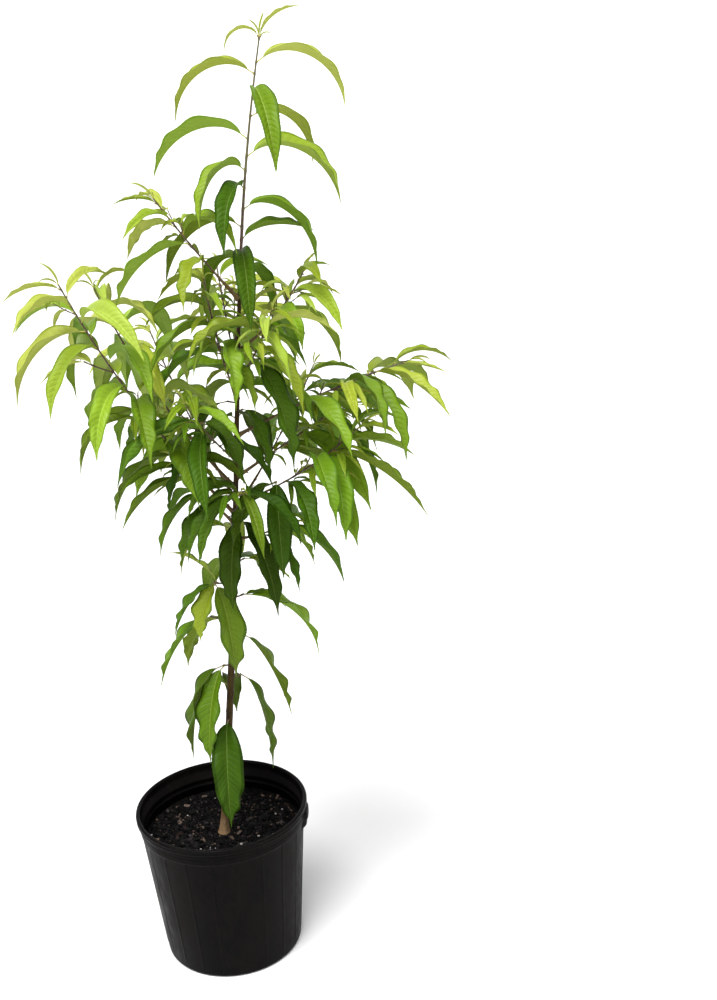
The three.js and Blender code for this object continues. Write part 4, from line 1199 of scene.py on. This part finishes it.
def new_group(name, inputs, outputs):
    """A node group with named inputs, each with its value, and named outputs."""
    group = bpy.data.node_groups.new(name, "ShaderNodeTree")
    for label, kind, value in inputs:
        socket = group.interface.new_socket(label, in_out="INPUT", socket_type="NodeSocket" + kind)
        if value is not None:
            socket.default_value = value
    for label, kind in outputs:
        group.interface.new_socket(label, in_out="OUTPUT", socket_type="NodeSocket" + kind)
    return group, group.nodes.new("NodeGroupInput"), group.nodes.new("NodeGroupOutput")


def use_group(tree, group, **values):
    """A group's node, with values or links for its inputs by name."""
    node = tree.nodes.new("ShaderNodeGroup")
    node.node_tree = group
    for key, value in values.items():
        socket = node.inputs[key.replace("_", " ").capitalize()]
        if isinstance(value, bpy.types.NodeSocket):
            tree.links.new(value, socket)
        else:
            socket.default_value = value
    return node


COLOUR_A, COLOUR_B, MIXED_COLOUR = 6, 7, 2     # a colour Mix node's sockets, by number


def math_node(tree, operation, a, b=0.0, c=0.0):
    return add_node(tree, "ShaderNodeMath", {0: a, 1: b, 2: c}, operation=operation).outputs[0]


GRAIN = Sizes(finer=6.0, fine_share=0.4, broad_share=0.6, middle=0.5, steepness=4.0)


def make_grain_group():
    """Uneven colour and height over a surface, from two sizes of noise in object space."""
    group, given, result = new_group(
        "Uneven grain",
        [("Scale", "Float", 100.0), ("Dark", "Color", (0, 0, 0, 1)),
         ("Pale", "Color", (1, 1, 1, 1)), ("Contrast", "Float", 1.0), ("Stretch", "Float", 1.0)],
        [("Color", "Color"), ("Height", "Float"), ("Mask", "Float")])
    coords = add_node(group, "ShaderNodeTexCoord")
    squash = add_node(group, "ShaderNodeCombineXYZ",
                      {0: 1.0, 1: 1.0, 2: given.outputs["Stretch"]})
    place_at = add_node(group, "ShaderNodeVectorMath",
                        {0: coords.outputs["Object"], 1: squash.outputs[0]}, operation="MULTIPLY")
    broad = add_node(group, "ShaderNodeTexNoise",
                     {"Vector": place_at.outputs[0], "Scale": given.outputs["Scale"],
                      "Detail": 4.0, "Roughness": 0.6})
    fine_scale = math_node(group, "MULTIPLY", given.outputs["Scale"], GRAIN.finer)
    fine = add_node(group, "ShaderNodeTexNoise",
                    {"Vector": place_at.outputs[0], "Scale": fine_scale, "Detail": 3.0})
    both = math_node(group, "MULTIPLY_ADD", fine.outputs[0], GRAIN.fine_share,
                     math_node(group, "MULTIPLY", broad.outputs[0], GRAIN.broad_share))
    centred = math_node(group, "SUBTRACT", both, GRAIN.middle)
    steepness = math_node(group, "MULTIPLY", given.outputs["Contrast"], GRAIN.steepness)
    mask = add_node(group, "ShaderNodeMath", {0: centred, 1: steepness, 2: GRAIN.middle},
                    operation="MULTIPLY_ADD", use_clamp=True).outputs[0]
    mixed = add_node(group, "ShaderNodeMix",
                     {0: mask, COLOUR_A: given.outputs["Dark"], COLOUR_B: given.outputs["Pale"]},
                     data_type="RGBA")
    group.links.new(mixed.outputs[MIXED_COLOUR], result.inputs["Color"])
    group.links.new(both, result.inputs["Height"])
    group.links.new(mask, result.inputs["Mask"])
    return group


def make_vein_group():
    """Side veins pressed into a blade, from the marks that its mesh carries."""
    group, given, result = new_group(
        "Side veins", [("Width", "Float", 0.16)], [("Height", "Float")])
    marks = add_node(group, "ShaderNodeUVMap", uv_map="veins")
    parts = add_node(group, "ShaderNodeSeparateXYZ", {0: marks.outputs[0]})
    wave = math_node(group, "PINGPONG", parts.outputs[0], 0.5)
    groove = add_node(group, "ShaderNodeMapRange",
                      {"Value": wave, "From Min": 0.0, "From Max": given.outputs["Width"],
                       "To Min": 0.0, "To Max": 1.0}, interpolation_type="SMOOTHSTEP")
    fade = math_node(group, "SUBTRACT", 1.0, parts.outputs[1])
    raised = math_node(group, "MULTIPLY", groove.outputs[0], math_node(group, "POWER", fade, 0.5))
    group.links.new(raised, result.inputs["Height"])
    return group


def new_material(name):
    material = bpy.data.materials.new(name)
    material.use_nodes = True
    tree = material.node_tree
    tree.nodes.clear()
    return material, tree


def finish_shader(tree, shader):
    output = tree.nodes.new("ShaderNodeOutputMaterial")
    tree.links.new(shader, output.inputs["Surface"])


def between(tree, share, low, high):
    """A value that goes from low to high as the share goes from 0 to 1."""
    return math_node(tree, "MULTIPLY_ADD", share, high - low, low)


def coat(tree, height, strength, depth, colour, roughness, gloss):
    """A shader whose surface rises and falls with a height, by a depth in metres."""
    bump = add_node(tree, "ShaderNodeBump",
                    {"Strength": strength, "Distance": depth, "Height": height})
    shine = add_node(tree, "ShaderNodeBsdfPrincipled", {
        "Base Color": colour, "Roughness": roughness, "Specular IOR Level": gloss,
        "Normal": bump.outputs[0]})
    return shine.outputs[0]


def rgba(colour):
    return (*colour, 1.0)


# Tones from the oldest leaf, or the one with the most painted shade, to the newest: upper face,
# under face and rib; in the lighter tones the under face is painted darker than its own paler
# colour, as shade beneath.
TONES = (
    ("shade", (0.023, 0.054, 0.002), (0.043, 0.080, 0.006), (0.08, 0.13, 0.015)),
    ("dark", (0.039, 0.088, 0.003), (0.064, 0.114, 0.008), (0.11, 0.17, 0.020)),
    ("deep", (0.066, 0.133, 0.005), (0.091, 0.154, 0.012), (0.15, 0.22, 0.026)),
    ("leafy", (0.105, 0.192, 0.007), (0.126, 0.204, 0.016), (0.21, 0.29, 0.035)),
    ("fresh", (0.166, 0.270, 0.010), (0.173, 0.262, 0.022), (0.28, 0.37, 0.045)),
    ("light", (0.252, 0.356, 0.019), (0.232, 0.326, 0.036), (0.36, 0.45, 0.055)),
    ("bright", (0.342, 0.446, 0.038), (0.318, 0.400, 0.058), (0.44, 0.53, 0.075)),
    ("new", (0.430, 0.530, 0.085), (0.400, 0.488, 0.100), (0.52, 0.60, 0.110)),
)
HUES = (("green", (0.85, 1.0, 0.8)), ("leaf", (0.95, 1.0, 0.9)), ("yellow", (1.06, 0.98, 1.0)))
BLADE_FINISH = Sizes(
    upper_roughness=0.42, under_roughness=0.65, gloss=0.06, gloss_step=0.035, light_through=0.24,
    through_colour=(1.7, 1.55, 0.9), cell_share=0.35, vein_pale=0.1)
STALK_COLOUR = ((0.7, 0.08), (0.7, 0.0), (0.8, 0.0))     # per channel: share of the rib's, plus


def make_blade(name, colour, roughness, gloss, veins, cells):
    """A leaf face: a satin skin over a body that lets some light through."""
    material, tree = new_material(name)
    height = use_group(tree, veins)
    skin = use_group(tree, cells, scale=600.0)
    both = math_node(tree, "MULTIPLY_ADD", skin.outputs["Height"], BLADE_FINISH.cell_share,
                     height.outputs[0])
    shine = coat(tree, both, strength=0.7, depth=0.0006, colour=rgba(colour),
                 roughness=roughness, gloss=gloss)
    through = [min(1.0, c * k) for c, k in zip(colour, BLADE_FINISH.through_colour)]
    glow = add_node(tree, "ShaderNodeBsdfTranslucent", {"Color": rgba(through)})
    mixed = add_node(tree, "ShaderNodeMixShader",
                     {0: BLADE_FINISH.light_through, 1: shine, 2: glow.outputs[0]})
    finish_shader(tree, mixed.outputs[0])
    return material


def make_rib(name, colour, cells):
    """A midrib or leaf stalk: a pale, slightly glossy cord of tissue."""
    material, tree = new_material(name)
    skin = use_group(tree, cells, scale=400.0)
    finish_shader(tree, coat(tree, skin.outputs["Height"], strength=0.3, depth=0.0003,
                             colour=rgba(colour), roughness=0.5, gloss=0.3))
    return material


def make_tones(veins, cells):
    """All finishes of all tones in each hue, in the order that a leaf's strips count them."""
    finishes = []
    for hue, balance in HUES:
        for place_on_scale, (name, *colours) in enumerate(TONES):
            name = f"leaf_{hue}_{name}"
            upper, under, rib = [[c * k for c, k in zip(colour, balance)] for colour in colours]
            gloss = BLADE_FINISH.gloss + BLADE_FINISH.gloss_step * place_on_scale
            stalk = [share * c + more for c, (share, more) in zip(rib, STALK_COLOUR)]
            side_vein = [(1 - BLADE_FINISH.vein_pale) * c + BLADE_FINISH.vein_pale * pale
                         for c, pale in zip(upper, rib)]
            finishes += [
                make_blade(name + "_upper", upper, BLADE_FINISH.upper_roughness, gloss,
                           veins, cells),
                make_blade(name + "_under", under, BLADE_FINISH.under_roughness, gloss,
                           veins, cells),
                make_rib(name + "_rib", rib, cells),
                make_rib(name + "_stalk", stalk, cells),
                make_blade(name + "_side_vein", side_vein, BLADE_FINISH.upper_roughness, gloss,
                           veins, cells)]
    return finishes


SHOOT_COLOURS = (
    ("shoot_red", (0.075, 0.032, 0.020)), ("shoot_olive", (0.090, 0.075, 0.022)),
    ("shoot_green", (0.150, 0.190, 0.030)), ("bud_scale", (0.120, 0.065, 0.035)),
)


def make_shoot_finish(name, colour, grain):
    """Young smooth bark of one colour, with a fine uneven surface."""
    material, tree = new_material(name)
    skin = use_group(tree, grain, scale=500.0)
    finish_shader(tree, coat(tree, skin.outputs["Height"], strength=0.5, depth=0.0004,
                             colour=rgba(colour), roughness=0.5, gloss=0.5))
    return material


def height_mask(tree, low, high):
    """From 0 at one height to 1 at another, in metres above the floor."""
    coords = add_node(tree, "ShaderNodeTexCoord")
    parts = add_node(tree, "ShaderNodeSeparateXYZ", {0: coords.outputs["Object"]})
    return add_node(tree, "ShaderNodeMapRange", {
        "Value": parts.outputs[2], "From Min": low, "From Max": high,
        "To Min": 0.0, "To Max": 1.0}).outputs[0]


CORK = Sizes(top=0.215, full=0.180)      # heights in metres where the corky foot ends and is whole


def make_trunk_bark(grain):
    """Tan and corky at the foot and red-brown above, with fine cracks along the stem."""
    material, tree = new_material("trunk_bark")
    skin = use_group(tree, grain, scale=160.0, dark=rgba((0.022, 0.011, 0.003)),
                     pale=rgba((0.066, 0.040, 0.011)), contrast=1.1, stretch=0.35)
    corky = use_group(tree, grain, scale=260.0, dark=rgba((0.13, 0.075, 0.035)),
                      pale=rgba((0.32, 0.21, 0.115)), contrast=1.1, stretch=0.3)
    low = height_mask(tree, CORK.top, CORK.full)
    colour = add_node(
        tree, "ShaderNodeMix",
        {0: low, COLOUR_A: skin.outputs["Color"], COLOUR_B: corky.outputs["Color"]},
        data_type="RGBA").outputs[MIXED_COLOUR]
    roughness = between(tree, skin.outputs["Mask"], 0.52, 0.72)
    finish_shader(tree, coat(tree, skin.outputs["Height"], strength=0.8, depth=0.0008,
                             colour=colour, roughness=roughness, gloss=0.12))
    return material


def make_bough_bark(grain):
    """Smooth brown-purple bark that turns olive in patches."""
    material, tree = new_material("bough_bark")
    skin = use_group(tree, grain, scale=120.0, dark=rgba((0.075, 0.034, 0.022)),
                     pale=rgba((0.150, 0.105, 0.035)), contrast=1.0, stretch=0.5)
    finish_shader(tree, coat(tree, skin.outputs["Height"], strength=0.6, depth=0.0005,
                             colour=skin.outputs["Color"], roughness=0.5, gloss=0.2))
    return material


def make_pot_plastic(grain):
    """Black moulded plastic with a dull, uneven bloom of dust."""
    material, tree = new_material("pot_plastic")
    bloom = use_group(tree, grain, scale=22.0, dark=rgba((0.0013, 0.0013, 0.0014)),
                      pale=rgba((0.0046, 0.0036, 0.0030)), contrast=1.0, stretch=0.45)
    fine = use_group(tree, grain, scale=900.0)
    roughness = between(tree, bloom.outputs["Mask"], 0.34, 0.56)
    finish_shader(tree, coat(tree, fine.outputs["Height"], strength=0.25, depth=0.0003,
                             colour=bloom.outputs["Color"], roughness=roughness, gloss=0.04))
    return material


def make_peat(grain):
    """The dark damp body of the mix."""
    material, tree = new_material("damp_peat")
    lumps = use_group(tree, grain, scale=300.0, dark=rgba((0.0012, 0.0010, 0.0009)),
                      pale=rgba((0.0034, 0.0028, 0.0025)), contrast=1.1)
    finish_shader(tree, coat(tree, lumps.outputs["Height"], strength=1.0, depth=0.002,
                             colour=lumps.outputs["Color"], roughness=0.85, gloss=0.08))
    return material


CHIP_BROWNS = (
    ("black", (0.0012, 0.0010, 0.0010)), ("umber", (0.0026, 0.0021, 0.0019)),
    ("bark", (0.0050, 0.0035, 0.0030)), ("russet", (0.015, 0.009, 0.0075)),
    ("grey", (0.032, 0.027, 0.026)), ("straw", (0.090, 0.063, 0.050)),
)


def make_chip_finish(name, colour, grain):
    """A matt broken surface of one colour, for bark chips and perlite."""
    material, tree = new_material("chip_" + name)
    rough = use_group(tree, grain, scale=700.0)
    finish_shader(tree, coat(tree, rough.outputs["Height"], strength=0.8, depth=0.0006,
                             colour=rgba(colour), roughness=0.6, gloss=0.1))
    return material


# ---------------------------------------------------------------- floor, light and camera

STUDIO = Sizes(
    floor_radius=12.0, sweep=60.0, sweep_turn=44, rings=12, sides=96, grey=0.80, world=0.36)
# Lamps: name, heading and rise of the light's source, angle that it fills (degrees), strength.
LAMPS = (("window", 236, 66, 35, 4.6), ("fill", 320, 35, 60, 0.4), ("behind", 80, 45, 60, 0.5))
CAMERA = Sizes(place=(0.0, -1.5681, 1.1563), yaw=0.13203, pitch=0.33455, roll=-0.065,
               lens=48.6, sensor=36.0)


def make_floor():
    """A pale floor that sweeps gently up far away, so that no edge of it shows from any side."""
    material, tree = new_material("studio_floor")
    shine = add_node(tree, "ShaderNodeBsdfPrincipled", {
        "Base Color": rgba([STUDIO.grey] * 3), "Roughness": 0.9, "Specular IOR Level": 0.1})
    finish_shader(tree, shine.outputs[0])
    points, faces, sides = [(0.0, 0.0, 0.0)], [], STUDIO.sides
    for turn in np.linspace(0, STUDIO.sweep_turn, STUDIO.rings):
        r = STUDIO.floor_radius + STUDIO.sweep * math.sin(rad(turn))
        z = STUDIO.sweep * (1 - math.cos(rad(turn)))
        for k in range(sides):
            a = 2 * math.pi * k / sides
            points.append((r * math.cos(a), r * math.sin(a), z))
    faces += [(0, 1 + k, 1 + (k + 1) % sides) for k in range(sides)]
    for i in range(STUDIO.rings - 1):
        for k in range(sides):
            a, b = 1 + i * sides + k, 1 + i * sides + (k + 1) % sides
            faces.append((a, a + sides, b + sides, b))
    mesh = bpy.data.meshes.new("studio_floor")
    mesh.from_pydata(points, [], faces)
    mesh.materials.append(material)
    mesh.polygons.foreach_set("use_smooth", [True] * len(faces))
    floor = bpy.data.objects.new("studio_floor", mesh)
    bpy.context.scene.collection.objects.link(floor)


def make_light(name, turn, rise, spread, strength):
    """Even light from one direction, softened over a wide angle."""
    light = bpy.data.lights.new(name, "SUN")
    light.angle, light.energy = rad(spread), strength
    lamp = bpy.data.objects.new(name, light)
    towards = Vector(heading(rad(turn), rad(rise)))
    lamp.rotation_euler = towards.to_track_quat("Z", "Y").to_euler()
    bpy.context.scene.collection.objects.link(lamp)


def make_lights():
    """The lamps, and white light from all round."""
    for lamp in LAMPS:
        make_light(*lamp)
    world = bpy.data.worlds.new("studio_light")
    world.use_nodes = True
    background = world.node_tree.nodes["Background"]
    background.inputs["Color"].default_value = (1.0, 1.0, 1.0, 1.0)
    background.inputs["Strength"].default_value = STUDIO.world
    bpy.context.scene.world = world
    bpy.context.scene.view_settings.view_transform = "Standard"


def make_camera():
    """A camera in metres and radians, level but for its roll, that looks a little down."""
    yaw, pitch, roll = CAMERA.yaw, CAMERA.pitch, CAMERA.roll
    forward = Vector((math.sin(yaw) * math.cos(pitch), math.cos(yaw) * math.cos(pitch),
                      -math.sin(pitch)))
    level = Vector((math.cos(yaw), -math.sin(yaw), 0.0))
    upright = level.cross(forward)
    right = level * math.cos(roll) + upright * math.sin(roll)
    up = upright * math.cos(roll) - level * math.sin(roll)
    lens = bpy.data.cameras.new("camera")
    lens.lens, lens.sensor_width = CAMERA.lens, CAMERA.sensor
    camera = bpy.data.objects.new("camera", lens)
    camera.matrix_world = Matrix.Translation(CAMERA.place) @ \
        Matrix((right, up, -forward)).transposed().to_4x4()
    bpy.context.scene.collection.objects.link(camera)
    bpy.context.scene.camera = camera


# ---------------------------------------------------------------- the scene

def main():
    make_camera()
    grow_tree()
    grain = make_grain_group()
    tones = make_tones(make_vein_group(), grain)
    shoot_finishes = [make_shoot_finish(name, colour, grain) for name, colour in SHOOT_COLOURS]
    for mass in masses:
        make_mass(mass, tones, shoot_finishes)
    make_trunk(make_trunk_bark(grain))
    make_boughs(make_bough_bark(grain))
    make_pot(make_pot_plastic(grain))
    make_mix(make_peat(grain))
    make_chips([make_chip_finish(name, colour, grain) for name, colour in CHIP_BROWNS])
    make_perlite(make_chip_finish("perlite", PERLITE.colour, grain))
    make_floor()
    make_lights()


main()
